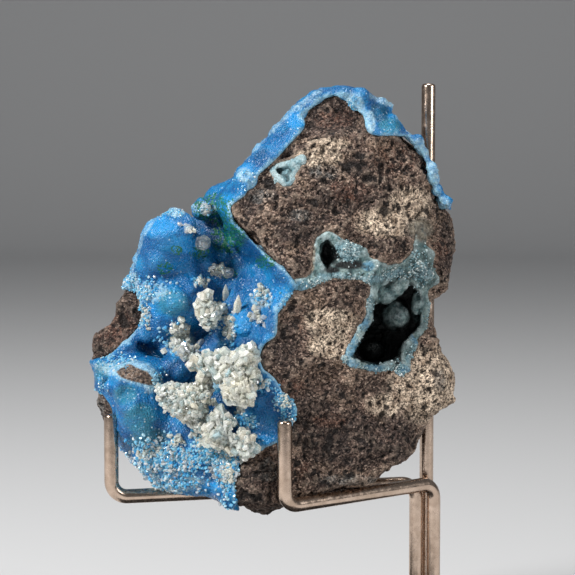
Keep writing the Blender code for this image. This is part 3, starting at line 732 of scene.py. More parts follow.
spots, out = spread(draft.data, SMALL_HEADS, 21, crust_weight)
pick = np.random.default_rng(22)
radii = MM * (0.7 + 1.9 * pick.random(SMALL_HEADS) ** 2)
sunk = spots - out * (radii * (0.45 + 0.3 * pick.random(SMALL_HEADS)))[:, None]
bpy.data.objects.remove(draft)
small_heads = [(Vector(place), radius) for place, radius in zip(sunk, radii)]
crust = skin_of("blue_crust", "blue_crust_fine", CRUST_VOXEL, soften=2, grow=CRUST_GROWTH,
                rounded=1, lumps=small_heads + large_heads + milky_lumps)
print("small heads from", round(radii.min() / MM, 1), "to", round(radii.max() / MM, 1), "mm")

# %% The crust's surface
CRUST_REACH = 16 * MM
CRUST_FRONT = 6 * MM
ISLAND_DEPTH = 0.9 * MM
points = places(crust.data)
seen = seen_at(points)
front = points[:, 1] < CRUST_FRONT
edge = from_rock(seen) + 2.5 * cloudy(points, 2.2 * MM, 2, seed=15)
rim = (1 - smooth_step(edge, 0.5, 5)) * front
pale = np.maximum(in_spots(seen, PALE_SPOTS), 0.6 * rim)
# the pale mask also holds painted light along those edges
lit_fringe = np.min([near_path(seen, path) for path in LIT_FRINGES], axis=0)
pale = np.maximum(pale, 0.75 * (1 - smooth_step(lit_fringe + 2 * cloudy(points, 2 * MM, 2, seed=16), 1, 6)))
island = averaged(crust.data, (inside(seen, ISLAND_EDGE) * front)[:, None], 3)[:, 0]
rise = 0.25 * MM * cloudy(points, 5 * MM, 2, seed=11)
rise += 0.4 * MM * (heads(points, 3.4 * MM, seed=12) - 0.6)
rise += 0.3 * MM * (heads(points, 1.3 * MM, seed=13) - 0.6) * (0.5 + pale)
rise += 0.35 * MM * cloudy(points, 1.1 * MM, 2, seed=14) * np.maximum(pale, island)
seated = contact(points, ["matrix"], 0.6 * MM, 1.6 * MM)
shift(crust.data, rise * (1 - seated) - ISLAND_DEPTH * island)
store(crust.data, "head", bulge(crust.data, 14, 0.6 * MM))
store(crust.data, "open", openness(crust.data, CRUST_REACH))
store(crust.data, "rim", rim)
store(crust.data, "island", island)
store(crust.data, "pale", pale * front)
to_lumps = [np.linalg.norm(points - np.array(place), axis=1) / radius for place, radius in milky_lumps]
store(crust.data, "milky", 1 - smooth_step(np.min(to_lumps, axis=0), 1.02, 1.18))
for name, spots in (
    ("deep", DEEP_AND_SHADOW_SPOTS), ("bright", BRIGHT_AND_LIT_SPOTS), ("teal", TEAL_SPOTS), ("green", GREEN_SPOTS),
    ("painted_shadow", PAINTED_SHADOW_SPOTS),
):
    store(crust.data, name, in_spots(seen, spots) * front)
crust.data.shade_smooth()

# %% The crust's finish
blue = Finish("blue_hemimorphite", (0.014, 0.18, 0.46), 0.4)
colour = blue.ramp(blue.clouds(6 * MM, 4, 0.4), (0.32, (0.0, 0.09, 0.28)), (0.5, (0.002, 0.15, 0.4)),
                   (0.68, (0.012, 0.25, 0.54)))
# brighter blue in those spots, partly painted light
colour = blue.zone(colour, "bright", (0.012, 0.29, 0.68), blue.clouds(4 * MM, 4), 0.1, 0.5, 0.9)
# painted shade: the blue turns navy where little of the space in front of it is open
hollow_shade = blue.ramp(blue.stored("open"), (0.12, 1.0), (0.65, 0.0))
colour = blue.mix(hollow_shade, colour, (0.0, 0.07, 0.18))
# the deep spots add deeper blue that is partly painted shadow, the teal spots the crust's teal tone, and
# the painted shadow spots painted shade
for name, tone, size, low, high, most in (
    ("deep", (0.0, 0.06, 0.2), 3 * MM, 0.1, 0.5, 0.7),
    ("teal", (0.03, 0.23, 0.32), 2.5 * MM, 0.12, 0.5, 0.75),
    ("painted_shadow", (0.01, 0.085, 0.13), 2.5 * MM, 0.1, 0.4, 0.65),
):
    colour = blue.zone(colour, name, tone, blue.clouds(size, 4), low, high, most)
# painted highlight: heads that stand out of the skin are painted a lighter blue
colour = blue.mix(blue.ramp(blue.stored("head"), (0.15, 0.0), (1.0, 0.25)), colour, (0.06, 0.38, 0.66))
colour = blue.zone(colour, "pale", (0.42, 0.64, 0.74), blue.clouds(1.3 * MM, 4), 0.2, 0.6, 0.9)
colour = blue.zone(colour, "rim", (0.3, 0.56, 0.72), blue.clouds(1.6 * MM, 4), 0.1, 0.5, 0.75)

# %% The crust's dots, lumps and island
DOT_SIZE = 0.95 * MM
mote = blue.ramp(blue.clouds(0.5 * MM, 3), (0.36, 0.7), (0.55, 1.0))
colour = blue.mix(0.7, colour, mote, "MULTIPLY")
dots = blue.ramp(blue.grains(DOT_SIZE), (0.1, 1.0), (0.34, 0.0))
dots = blue.sum(dots, blue.speckle(DOT_SIZE, 0.14), "MULTIPLY")
colour = blue.mix(blue.sum(dots, 0.75, "MULTIPLY"), colour, (0.7, 0.82, 0.88))
green_dots = blue.sum(blue.chance(0.6 * MM, "Green"), blue.stored("green"), "MULTIPLY")
colour = blue.mix(blue.ramp(green_dots, (0.38, 0.0), (0.5, 0.9)), colour, (0.012, 0.15, 0.055))
milk = blue.ramp(blue.clouds(1.2 * MM, 3), (0.36, (0.22, 0.3, 0.34)), (0.62, (0.7, 0.68, 0.64)))
colour = blue.mix(blue.ramp(blue.stored("milky"), (0.2, 0.0), (0.8, 0.85)), colour, milk)
earth = blue.ramp(blue.clouds(0.8 * MM, 4), (0.4, (0.025, 0.015, 0.012)), (0.64, (0.26, 0.18, 0.13)))
colour = blue.mix(blue.ramp(blue.stored("island"), (0.35, 0.0), (0.6, 1.0)), colour, earth)
blue.set(Base_Color=colour, Subsurface_Weight=0.18, Subsurface_Radius=(0.4, 0.9, 1.6),
         Subsurface_Scale=1.0 * MM, IOR=1.61, Specular_IOR_Level=0.4,
         Roughness=blue.ramp(blue.clouds(0.7 * MM, 3), (0.35, 0.16), (0.7, 0.5)))
blue.bump(blue.sum(blue.clouds(0.6 * MM, 3), blue.grains(0.5 * MM)), 0.28 * MM, 0.9)
give(crust, blue, ["blue_crust"])

# %% [markdown]
# ## The teal lining
# Inside the vugs and the seam the same mineral is thin and grey-green over the dark rock.
# It is made as the crust is, with smaller heads. The lumps on the seam and on the vug's
# back wall are put there by lines of sight, and those on the near wall, which such a line
# only grazes, a set way behind the mouth. The colour follows the depth: painted shade darkens
# it inside, in the grooves and where little space is open, painted light brightens the lit
# walls and the heads, and it is pale at the lips, with a little blue on the lips and a brown
# stain at the seam's top.

# %% The linings' zones
LIP_FRONT = -5 * MM
MOUTH_EDGE = [
    (367, 284), (370, 307), (362, 322), (351, 335), (345, 352), (338, 362), (345, 370), (367, 370),
    (382, 365), (398, 377), (407, 370), (409, 358), (418, 345), (424, 334), (433, 325),
]
SEAM_EDGE = [
    (297, 288), (312, 290), (319, 277), (337, 275), (351, 281), (367, 280), (380, 278), (400, 272),
]
LIT_WALLS = [(384, 292, 20, 14), (418, 308, 8, 18)]
LIT_BACK = [(395, 314, 14, 16)]
LIP_SPOTS = [(350, 252, 12, 12), (425, 275, 10, 12), (303, 285, 10, 8), (342, 247, 10, 8)]
BLUE_LIPS = [
    (350, 345, 10, 18), (350, 366, 12, 8), (374, 368, 14, 6), (402, 371, 10, 8), (364, 322, 7, 12),
    (416, 337, 8, 10), (368, 266, 9, 7), (300, 287, 12, 8),
]
SHADED = [(348, 265, 18, 5), (332, 270, 10, 4)]
STAINED = [(422, 228, 14, 16), (312, 256, 4, 20)]

# %% The linings' finish
teal = Finish("teal_hemimorphite", (0.32, 0.5, 0.5), 0.35)
film = teal.ramp(teal.clouds(2.6 * MM, 4, 0.5), (0.34, (0.05, 0.11, 0.12)), (0.5, (0.13, 0.24, 0.24)),
                 (0.66, (0.32, 0.44, 0.42)))
colour = teal.zone(film, "lip", (0.26, 0.46, 0.54), teal.clouds(1.6 * MM, 4), 0.15, 0.55, 0.8)
# painted highlight: heads that stand out are painted paler
colour = teal.mix(teal.ramp(teal.stored("head"), (0.1, 0.0), (0.9, 0.6)), colour, (0.6, 0.72, 0.72))
colour = teal.zone(colour, "blue", (0.08, 0.29, 0.47), teal.clouds(1.1 * MM, 4), 0.25, 0.55, 0.75)
stain = teal.ramp(teal.clouds(1.2 * MM, 4), (0.36, (0.09, 0.07, 0.05)), (0.64, (0.36, 0.31, 0.23)))
colour = teal.zone(colour, "stain", stain, teal.clouds(1.6 * MM, 4), 0.12, 0.4, 0.95)
# painted shade: darker in the grooves between heads
grooves = teal.ramp(teal.sum(teal.stored("head"), 0.5), (0.0, 0.35), (0.5, 1.0))
motes = teal.ramp(teal.clouds(0.5 * MM, 3), (0.36, 0.5), (0.58, 1.0))
shade = teal.ramp(teal.stored("open"), (0.2, 0.04), (0.42, 0.4), (0.7, 1.0))
for amount, grey in ((0.9, grooves), (0.8, motes), (1.0, shade)):
    colour = teal.mix(amount, colour, grey, "MULTIPLY")
teal.set(Base_Color=colour, Subsurface_Weight=0.2, Subsurface_Radius=(0.6, 0.9, 1.0),
         Subsurface_Scale=0.6 * MM, IOR=1.61, Specular_IOR_Level=0.35,
         Roughness=teal.ramp(teal.clouds(0.8 * MM, 3), (0.35, 0.35), (0.7, 0.65)))
teal.bump(teal.sum(teal.clouds(0.6 * MM, 3), teal.grains(0.6 * MM)), 0.25 * MM, 0.8)

# %% Heads on the linings

# u, v and radius in mm
SEAM_HEADS = [
    (344, 250, 2.2), (352, 252, 2.7), (360, 255, 2.2), (366, 262, 1.4), (425, 272, 2.6),
    (418, 262, 2.0),
]
BACK_HEAD = [(395, 316, 4.2)]
WALL_HEADS = [(372, 296, 2.4), (378, 290, 3.2), (387, 293, 3.0), (394, 286, 2.8), (400, 282, 2.4)]
MOUTH_PROBE = (374, 295)
WALL_DEPTH = 5 * MM
mouth = on_node("vug_lining", *MOUTH_PROBE).y
vug_heads = lumps_on("vug_lining", SEAM_HEADS, 0.45) + lumps_on("vug_lining", BACK_HEAD, 0.3)
vug_heads += [(in_view(u, v, mouth + WALL_DEPTH), radius * MM) for u, v, radius in WALL_HEADS]
print("the vug's mouth is at y =", round(mouth / MM, 1), "mm")
POCKET_RIDGE = [(281, 181), (289, 186), (297, 166), (301, 161), (294, 178)]
RIDGE_DEPTH, RIDGE_RADIUS = 2.3 * MM, 1.7 * MM
POCKET_FLOOR = (288, 172)
FLOOR_DEPTH, FLOOR_RADIUS = 5.5 * MM, 2.8 * MM
pocket_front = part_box("pocket_lining")[0].y
pocket_heads = [(in_view(u, v, pocket_front + RIDGE_DEPTH), RIDGE_RADIUS) for u, v in POCKET_RIDGE]
pocket_heads.append((in_view(*POCKET_FLOOR, pocket_front + FLOOR_DEPTH), FLOOR_RADIUS))

# %% The linings' skins
LINING_VOXEL = 0.42 * MM
LINING_GROWTH = 0.25 * MM
LINING_REACH = 20 * MM
linings = {}
for node, lumps in (("vug_lining", vug_heads), ("pocket_lining", pocket_heads)):
    lining = skin_of(node, node + "_fine", LINING_VOXEL, soften=2, grow=LINING_GROWTH, lumps=lumps)
    points = places(lining.data)
    seen = seen_at(points)
    rise = 0.3 * MM * cloudy(points, 3.5 * MM, 2, seed=31)
    rise += 0.6 * MM * (heads(points, 2.6 * MM, seed=32) - 0.5)
    rise += 0.4 * MM * (heads(points, 1.2 * MM, seed=33) - 0.5)
    shift(lining.data, np.maximum(rise, -LINING_GROWTH))
    lips = np.minimum(near_path(seen, MOUTH_EDGE), near_path(seen, SEAM_EDGE))
    at_front = points[:, 1] < LIP_FRONT
    lips = np.maximum(1 - smooth_step(lips, 1, 7), in_spots(seen, LIP_SPOTS)) * at_front
    store(lining.data, "head", bulge(lining.data, 10, 0.45 * MM))
    store(lining.data, "lip", lips if node == "vug_lining" else np.full(len(points), 0.8))
    # painted shade: darker where little of the space in front is open and towards the vug's back, lighter
    # on the lit walls; the pocket only a little darker
    free = openness(lining.data, LINING_REACH)
    deep = smooth_step(points[:, 1], -17 * MM, -12 * MM)
    lit = np.maximum(0.6 * in_spots(seen, LIT_WALLS), 0.4 * in_spots(seen, LIT_BACK))
    free = np.maximum(free * (1 - 0.45 * deep), lit) if node == "vug_lining" else 0.72 + 0.3 * free
    store(lining.data, "open", free * (1 - 0.85 * in_spots(seen, SHADED)))
    store(lining.data, "blue", in_spots(seen, BLUE_LIPS) * at_front)
    store(lining.data, "stain", in_spots(seen, STAINED))
    lining.data.shade_smooth()
    give(lining, teal, [node])
    linings[node] = lining

# %% [markdown]
# ## Crystals
# Free hemimorphite crystals are flat blades with a roof-shaped end, clear or white. One
# crystal is a cube stretched to a blade, with its top drawn in to a roof and, on most, its
# upright edges cut. Thousands of them stand on the crust, so a few small templates are
# copied by matrices into joined meshes, which is far quicker than operator calls.

# %% The crystal templates


def crystal_template(width, thickness, roof, facets, tip=0.2):
    """Points and faces of one crystal of length 1, with its foot at the origin."""
    bm = bmesh.new()
    body = 1 - tip
    place = Matrix.Translation((0, 0, body / 2)) @ Matrix.Diagonal((width, thickness, body, 1))
    bmesh.ops.create_cube(bm, size=1, matrix=place)
    if facets:
        upright = [e for e in bm.edges if abs(e.verts[0].co.z - e.verts[1].co.z) > body / 2]
        bmesh.ops.bevel(bm, geom=upright, offset=0.28 * min(width, thickness), segments=1,
                        affect="EDGES", profile=0.5, material=-1)
    top = max(bm.faces, key=lambda face: face.calc_center_median().z)
    roofed = bmesh.ops.extrude_discrete_faces(bm, faces=[top])
    bmesh.ops.translate(bm, verts=roofed["faces"][0].verts, vec=(0, 0, tip))
    bmesh.ops.scale(bm, verts=roofed["faces"][0].verts, vec=(roof, 0.15, 1))
    bmesh.ops.remove_doubles(bm, verts=bm.verts, dist=0.001)
    bmesh.ops.recalc_face_normals(bm, faces=bm.faces)
    bm.verts.index_update()
    points = np.array([v.co[:] for v in bm.verts])
    faces = [[v.index for v in face.verts] for face in bm.faces]
    bm.free()
    return points, faces


BLADE = crystal_template(0.5, 0.24, 0.45, facets=False)
PRISM = crystal_template(0.5, 0.36, 0.3, facets=True)
SPIKE = crystal_template(0.4, 0.26, 0.12, facets=True, tip=0.5)
BLOCK = crystal_template(0.62, 0.42, 0.8, facets=False)
STUB = crystal_template(0.62, 0.4, 0.4, facets=True)


def add_crystals(bm, template, spots, directions, lengths, seed):
    """Adds a copy of the template on each spot, along its direction, turned at random."""
    pick = np.random.default_rng(seed)
    points, faces = template
    tints = pick.random(len(spots))
    layer = bm.verts.layers.float.get("tint") or bm.verts.layers.float.new("tint")
    for spot, direction, length, tint in zip(spots, directions, lengths, tints):
        stand = Vector(direction).to_track_quat("Z", "Y").to_matrix()
        stand = stand @ Matrix.Rotation(pick.random() * math.tau, 3, "Z") * length
        corners = points @ np.array(stand).T + spot
        made = [bm.verts.new(corner) for corner in corners]
        for vertex in made:
            vertex[layer] = tint
        for face in faces:
            bm.faces.new([made[i] for i in face])


def leaning(out, lean, seed):
    """Directions near the normals, each leaning its own way."""
    pick = np.random.default_rng(seed)
    tilted = out + pick.normal(0, lean, out.shape)
    return tilted / np.linalg.norm(tilted, axis=1)[:, None]


# %% [markdown]
# ## The white clusters
# Where the last fluid dried up, crystals grew past the blue crust as cream-white knots.
# Each cluster's solid gives the knot, remeshed finely, and short thick crystals cover it.
# The finish lets some light through, so the knots glow a little at their edges.

# %% The white finish
white = Finish("white_hemimorphite", (0.8, 0.82, 0.74), 0.25)
tint = white.stored("tint")
milk = white.ramp(tint, (0.0, (0.4, 0.54, 0.56)), (0.3, (0.78, 0.82, 0.76)), (0.7, (0.96, 0.96, 0.88)),
                  (0.85, (0.88, 0.82, 0.68)), (1.0, (0.5, 0.72, 0.78)))
milk = white.mix(0.6, milk, white.ramp(white.clouds(2.2 * MM, 4), (0.35, 0.6), (0.6, 1.25)), "MULTIPLY")
milk = white.mix(white.ramp(white.clouds(6 * MM, 2), (0.45, 0.0), (0.62, 0.6)), milk, (0.92, 0.87, 0.7))
white.set(Base_Color=milk, Subsurface_Weight=0.35, Subsurface_Radius=(1.0, 1.0, 0.9),
          Subsurface_Scale=0.6 * MM, Transmission_Weight=0.3, IOR=1.61,
          Roughness=white.ramp(white.clouds(0.6 * MM, 2), (0.35, 0.12), (0.7, 0.4)))
white.bump(white.clouds(0.5 * MM, 2), 0.04 * MM, 0.5)

# %% The clusters
CLUSTER_VOXEL = 0.4 * MM
# side: how many fine grains, their length in mm, how many large crystals, and their length in mm
CLUSTER_CRYSTALS = {
    "left": (1500, 1.15, 200, 2.0), "right": (420, 1.3, 280, 3.2),
    "low": (240, 1.3, 190, 3.0), "high": (160, 1.2, 130, 2.8),
}


def all_round(points, out):
    """Crystals grow on every side of a cluster, and thickest on its front."""
    return 0.15 + facing(out)


def covered(bm, mesh, template, count, length, sunk, seed):
    """Adds crystals all over a mesh, each with that share of its length sunk in it."""
    spots, out = spread(mesh, count, seed, all_round)
    lengths = length * MM * np.random.default_rng(seed + 1).uniform(0.55, 1.3, count)
    feet = spots - out * lengths[:, None] * sunk
    add_crystals(bm, template, feet, leaning(out, 0.4, seed + 2), lengths, seed + 3)


for i, (side, (grains, grain_length, large, large_length)) in enumerate(CLUSTER_CRYSTALS.items()):
    node = "white_crystals_" + side
    core = skin_of(node, side + "_core", CLUSTER_VOXEL, soften=3)
    bm = bmesh.new()
    bm.from_mesh(core.data)
    for template, count, length, sunk, seed in (
        (PRISM, grains // 2, grain_length, 0.5, 400), (BLOCK, grains // 2, grain_length, 0.5, 500),
        (BLOCK, large, large_length, 0.4, 600),
    ):
        covered(bm, core.data, template, count, length, sunk, seed + 10 * i)
    bpy.data.objects.remove(core)
    cluster = object_from(bm, side + "_white_cluster")
    give(cluster, white, [node])

# %% [markdown]
# ## The druse on the crust
# A druse is a carpet of small crystals. It covers the crust's lower left and its edges. The
# rows say where crystals grow, how many and how long. They are thrown on the crust's skin
# at random, thickest in the middle of each spot, so that no spot has an edge. Blue tones
# drift through the druse, because the crust's colour shows through its thin crystals.

# %% Where the druse grows

# a spot, how many crystals, and their length in mm
DRUSE_SPOTS = [
    (150, 290, 20, 12, 150, 1.2), (140, 314, 10, 12, 90, 1.1), (131, 280, 9, 12, 80, 1.0),
    (174, 336, 14, 14, 100, 1.7), (170, 460, 42, 20, 700, 1.5), (176, 484, 40, 9, 380, 1.3),
    (215, 455, 22, 14, 260, 1.7), (150, 446, 20, 10, 160, 1.4), (228, 478, 10, 24, 220, 1.5),
    (230, 460, 5, 10, 50, 2.2), (284, 398, 12, 11, 160, 1.1), (287, 418, 8, 14, 90, 1.0),
    (245, 422, 16, 8, 110, 1.5), (262, 297, 10, 8, 70, 1.5), (262, 384, 8, 7, 50, 1.6),
    (216, 318, 12, 14, 110, 1.4), (231, 330, 6, 14, 70, 1.5), (201, 281, 10, 5, 50, 1.3),
    (118, 360, 18, 8, 120, 1.0), (160, 382, 6, 14, 90, 1.1), (205, 438, 14, 8, 90, 1.7),
    (285, 300, 8, 16, 60, 0.8), (101, 385, 5, 14, 60, 0.9), (245, 180, 10, 12, 40, 0.8),
    (205, 210, 12, 5, 50, 0.9), (170, 214, 16, 5, 60, 0.8), (352, 112, 5, 14, 60, 0.8),
]


# %% Growing crystals
GROWTH_FRONT = 8 * MM
SPOT_FALLOFF = 2.2
LEAN_FORWARD = -0.35


def grown(name, ground, table, template, lean, sunk, seed, singles=()):
    """One joined mesh of the crystals that stand on a piece in those spots, and of single ones."""
    bm = bmesh.new()
    for i, (u, v, half_u, half_v, count, length) in enumerate(table):
        def weight(points, out):
            seen = seen_at(points)
            r = np.hypot((seen[:, 0] - u) / half_u, (seen[:, 1] - v) / half_v)
            return facing(out) * np.exp(-SPOT_FALLOFF * r * r) * (points[:, 1] < GROWTH_FRONT) + 1e-12

        spots, out = spread(ground.data, count, seed + i, weight)
        lengths = length * MM * np.random.default_rng(seed + 300 + i).uniform(0.5, 1.3, count)
        feet = spots - out * lengths[:, None] * sunk
        add_crystals(bm, template, feet, leaning(out, lean, seed + 100 + i), lengths, seed + 200 + i)
    for u, v, length, tilt in singles:
        foot = np.array(on_node("blue_crust", u, v))
        add_crystals(bm, SPIKE, [foot], [(tilt, LEAN_FORWARD, 1)], [length * MM], seed + u)
    return object_from(bm, name)


# %% The druse
druse = grown("druse", crust, DRUSE_SPOTS, STUB, 0.45, 0.5, 1000)
frosty = Finish("druse_hemimorphite", (0.6, 0.75, 0.82), 0.2)
drift = frosty.sum(frosty.clouds(3.5 * MM, 3), 0.9, "MULTIPLY")
patchy = frosty.sum(frosty.sum(frosty.stored("tint"), 0.55, "MULTIPLY"), drift)
tone = frosty.ramp(patchy, (0.35, (0.03, 0.33, 0.75)), (0.62, (0.14, 0.53, 0.88)),
                   (0.85, (0.4, 0.7, 0.88)), (1.0, (0.82, 0.88, 0.9)))
tone = frosty.mix(0.4, tone, frosty.ramp(frosty.clouds(2 * MM, 3), (0.35, 0.7), (0.65, 1.3)), "MULTIPLY")
frosty.set(Base_Color=tone, Subsurface_Weight=0.5, Subsurface_Radius=(0.8, 1.0, 1.2),
           Subsurface_Scale=0.7 * MM, Transmission_Weight=0.2, IOR=1.61,
           Roughness=frosty.ramp(frosty.clouds(0.8 * MM, 2), (0.35, 0.08), (0.7, 0.35)))
give(druse, frosty)

# %% [markdown]
# ## White crystals on the crust
# Between the clusters, white crystals stand on the blue in loose tufts, and a few blades
# stand alone. The tufts are grown as the druse is, from short blocks that are sunk less.
# Each lone blade has a row of its own, because someone would miss it.

# %% The white crystals

# a spot, how many crystals, and their length in mm
WHITE_SPOTS = [
    (181, 333, 8, 10, 70, 2.2), (176, 346, 7, 6, 36, 2.2), (231, 326, 3, 12, 36, 2.2),
    (218, 270, 8, 3, 34, 1.9), (201, 282, 6, 4, 26, 1.7), (262, 291, 6, 6, 26, 1.7),
    (258, 316, 6, 3, 12, 2.2), (189, 356, 8, 6, 26, 2.8), (212, 312, 7, 8, 34, 2.0),
    (224, 310, 5, 5, 18, 2.0), (243, 452, 4, 8, 34, 1.9), (229, 470, 4, 16, 60, 1.7),
    (148, 453, 14, 5, 50, 1.5), (205, 440, 10, 6, 36, 2.0), (190, 230, 4, 3, 10, 1.3),
    (240, 410, 8, 5, 12, 1.8), (146, 316, 4, 12, 40, 1.2), (256, 378, 6, 5, 20, 1.8),
    (285, 402, 5, 8, 30, 1.1), (175, 440, 8, 6, 20, 1.8),
]
# u, v, length in mm and lean to the right
LONE_BLADES = [
    (226, 300, 4.8, 0.0), (237, 312, 5.2, 0.1), (216, 272, 2.8, -0.5), (230, 334, 3.4, 0.1),
]
whites = grown("white_scatter", crust, WHITE_SPOTS, BLOCK, 0.45, 0.35, 7000, singles=LONE_BLADES)
give(whites, white)

# %% [markdown]
# ## The druse on the seam
# The seam and the big vug's lips glitter with crystals under a millimetre long. Bump can't
# catch the light as their faces do, so they are grown on the lining in the same way.

# %% The seam's druse

# a spot, how many crystals, and their length in mm
SEAM_SPOTS = [
    (318, 285, 18, 8, 130, 0.8), (350, 280, 22, 6, 160, 0.8), (390, 274, 24, 8, 160, 0.8),
    (350, 252, 12, 12, 170, 1.0), (420, 270, 14, 20, 220, 0.9), (368, 300, 6, 16, 90, 0.8),
    (355, 330, 8, 16, 100, 0.8), (342, 362, 8, 10, 90, 0.9), (368, 369, 20, 5, 120, 0.9),
    (400, 370, 8, 10, 90, 0.9), (414, 350, 8, 14, 90, 0.8), (430, 320, 5, 20, 90, 0.8),
]
seam_druse = grown("seam_druse", linings["vug_lining"], SEAM_SPOTS, STUB, 0.45, 0.5, 5000)
icy = Finish("seam_hemimorphite", (0.5, 0.62, 0.62), 0.25)
tone = icy.ramp(icy.stored("tint"), (0.0, (0.1, 0.22, 0.26)), (0.4, (0.26, 0.42, 0.46)),
                (0.75, (0.48, 0.62, 0.64)), (1.0, (0.78, 0.82, 0.78)))
icy.set(Base_Color=tone, Subsurface_Weight=0.15, Subsurface_Radius=(0.8, 1.0, 1.0),
        Subsurface_Scale=0.3 * MM, Transmission_Weight=0.2, IOR=1.61,
        Roughness=icy.ramp(icy.clouds(0.8 * MM, 2), (0.35, 0.12), (0.7, 0.4)))
give(seam_druse, icy)

# %% [markdown]
# ## Clear crystals
# The clearest crystals are thin blades that pass the light, so their finish has strong
# transmission, the mineral's own index of refraction and a smooth surface.

# %% The clear crystals

# a spot, how many crystals, and their length in mm
CLEAR_SPOTS = [
    (187, 356, 7, 8, 14, 3.2), (200, 360, 8, 10, 22, 2.8), (258, 318, 6, 4, 8, 3.0),
    (184, 226, 6, 5, 10, 2.0), (216, 270, 9, 5, 20, 2.0), (204, 243, 4, 5, 12, 1.6),
    (258, 381, 8, 4, 8, 2.2), (262, 300, 8, 7, 14, 1.8), (224, 474, 20, 24, 50, 2.0),
    (170, 462, 36, 20, 90, 1.9), (240, 442, 10, 8, 20, 2.6), (245, 400, 8, 5, 8, 2.2),
    (253, 392, 4, 7, 6, 2.6),
]
clear = grown("clear_crystals", crust, CLEAR_SPOTS, BLADE, 0.5, 0.3, 3000)
glassy = Finish("clear_hemimorphite", (0.9, 0.94, 0.95), 0.06)
glassy.set(Transmission_Weight=0.6, IOR=1.61,
           Roughness=glassy.ramp(glassy.clouds(0.9 * MM, 2), (0.4, 0.03), (0.7, 0.2)))
glassy.bump(glassy.clouds(0.5 * MM, 2), 0.05 * MM, 0.4)
give(clear, glassy)

# %% [markdown]
# ## The rods
# The stand is three pieces of 4 mm metal rod. Two are bent twice, under the stone and up
# in front of it, and the third stands straight behind it. A rod is a circle that is
# extruded along each straight and spun round each bend, so the section stays round and no
# bend is pinched. The tip's edge is bevelled, as a bench grinder leaves it.

# %% The rods' shapes
ROD_RADIUS = 2.0 * MM
ROD_BEND = 4.5 * MM
ROD_FOOT = 4.35 * MM
ARM_HEIGHT = 51.1 * MM
LEFT_POST, LEFT_HOOK, LEFT_TOP = (37.2 * MM, 14.0 * MM), (-49.0 * MM, -8.0 * MM), 74.5 * MM
FRONT_POST, FRONT_HOOK, FRONT_TOP = (42.2 * MM, 14.0 * MM), (-0.8 * MM, -22.2 * MM), 74.8 * MM
BACK_POST, BACK_TOP = (40.4 * MM, 18.8 * MM), 166.0 * MM
TIP_BEVEL = 0.9 * MM


def moved(bm, ring, vec):
    """Extrudes a ring of edges and moves the new ring."""
    made = bmesh.ops.extrude_edge_only(bm, edges=ring)["geom"]
    bmesh.ops.translate(bm, verts=[g for g in made if isinstance(g, bmesh.types.BMVert)], vec=vec)
    return [g for g in made if isinstance(g, bmesh.types.BMEdge) and len(g.link_faces) == 1]


def bent_rod(name, corners):
    """A round rod through the corners, its bends turned round the bending radius."""
    bm = bmesh.new()
    bmesh.ops.create_circle(bm, cap_ends=True, segments=40, radius=ROD_RADIUS,
                            matrix=Matrix.Translation(corners[0]))
    ring = list(bm.edges)
    at = Vector(corners[0])
    for before, corner, after in zip(corners, corners[1:], corners[2:]):
        into = (corner - before).normalized()
        out = (after - corner).normalized()
        turn = into.angle(out)
        start = corner - into * ROD_BEND * math.tan(turn / 2)
        ring = moved(bm, ring, start - at)
        centre = corner + (out - into).normalized() * ROD_BEND / math.cos(turn / 2)
        spun = bmesh.ops.spin(bm, geom=ring, cent=centre, axis=into.cross(out).normalized(),
                              angle=turn, steps=14)
        ring = [g for g in spun["geom_last"] if isinstance(g, bmesh.types.BMEdge)]
        at = corner + out * ROD_BEND * math.tan(turn / 2)
    tip = moved(bm, ring, Vector(corners[-1]) - at)
    bmesh.ops.contextual_create(bm, geom=tip)
    bmesh.ops.bevel(bm, geom=tip, offset=TIP_BEVEL, segments=5, affect="EDGES", profile=0.5, material=-1)
    bmesh.ops.remove_doubles(bm, verts=bm.verts, dist=0.01 * MM)
    bmesh.ops.recalc_face_normals(bm, faces=bm.faces)
    rod = object_from(bm, name)
    rod.data.shade_smooth()
    rod.data.set_sharp_from_angle(angle=math.radians(50))
    return rod


def corners_of(post, top, hook=None):
    """A rod's ends and corners: up its post, and along an arm to its hook if it has one."""
    foot = Vector((*post, ROD_FOOT))
    if hook is None:
        return [foot, Vector((*post, top))]
    return [foot, Vector((*post, ARM_HEIGHT)), Vector((*hook, ARM_HEIGHT)), Vector((*hook, top))]


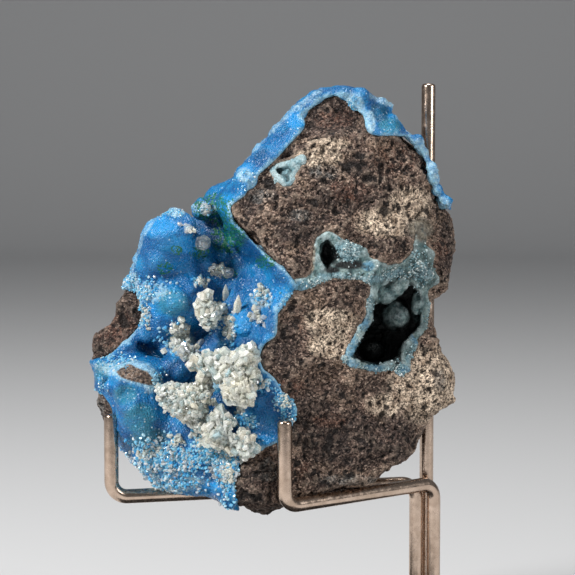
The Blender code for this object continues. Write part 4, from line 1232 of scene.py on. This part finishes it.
# %% The rods' finish
metal = Finish("rod_metal", (0.66, 0.5, 0.4), 0.3)
metal.set(Metallic=1.0, Base_Color=metal.ramp(metal.clouds(4 * MM, 4, 0.3), (0.35, (0.52, 0.39, 0.3)),
                                              (0.65, (0.7, 0.54, 0.43))),
          Roughness=metal.ramp(metal.clouds(1.5 * MM, 4), (0.3, 0.15), (0.7, 0.32)))
metal.bump(metal.clouds(0.35 * MM, 3), 0.02 * MM, 0.5)
for name, corners in (
    ("left_arm", corners_of(LEFT_POST, LEFT_TOP, LEFT_HOOK)),
    ("front_arm", corners_of(FRONT_POST, FRONT_TOP, FRONT_HOOK)),
    ("back_rod", corners_of(BACK_POST, BACK_TOP)),
):
    give(bent_rod(name + "_bar", corners), metal, [name])

# %% [markdown]
# ## The base plate
# The rods stand in a plain steel plate with a black, slightly grainy powder coat. A cube
# is stretched to the solid's box, its upright edges are rounded widely and all its other
# edges slightly, which gives the thin line of light that a painted plate shows.

# %% The base plate
PLATE_CORNER = 8 * MM
PLATE_BRIM = 1 * MM
low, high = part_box("base_plate")
bm = bmesh.new()
stretched = Matrix.Translation((low + high) / 2) @ Matrix.Diagonal((*(high - low), 1))
bmesh.ops.create_cube(bm, size=1, matrix=stretched)
upright = [e for e in bm.edges if abs(e.verts[0].co.z - e.verts[1].co.z) > MM]
bmesh.ops.bevel(bm, geom=upright, offset=PLATE_CORNER, segments=10, affect="EDGES", profile=0.5,
                material=-1)
brims = [e for e in bm.edges if abs(e.verts[0].co.z - e.verts[1].co.z) < MM / 10]
bmesh.ops.bevel(bm, geom=brims, offset=PLATE_BRIM, segments=4, affect="EDGES", profile=0.5,
                material=-1)
plate = object_from(bm, "base_plate_coated")
plate.data.shade_smooth()
plate.data.set_sharp_from_angle(angle=math.radians(40))
coat = Finish("powder_coat", (0.02, 0.02, 0.022), 0.5)
coat.set(Base_Color=coat.ramp(coat.clouds(12 * MM, 4), (0.35, (0.014, 0.014, 0.016)),
                              (0.65, (0.03, 0.03, 0.032))),
         Roughness=coat.ramp(coat.clouds(6 * MM, 4), (0.35, 0.42), (0.65, 0.58)))
coat.bump(coat.clouds(0.5 * MM, 3), 0.05 * MM, 0.7)
give(plate, coat, ["base_plate"])

# %% [markdown]
# ## The size
# Both boxes, the solids' and the dressed model's, are printed in millimetres.

# %% Print the two boxes
looks_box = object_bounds()
boxes = {"cad": [list(corner) for corner in cad_box], "looks": [list(corner) for corner in looks_box]}
for name, (low, high) in boxes.items():
    print(name, "box in mm:", [round((b - a) / MM, 1) for a, b in zip(low, high)])
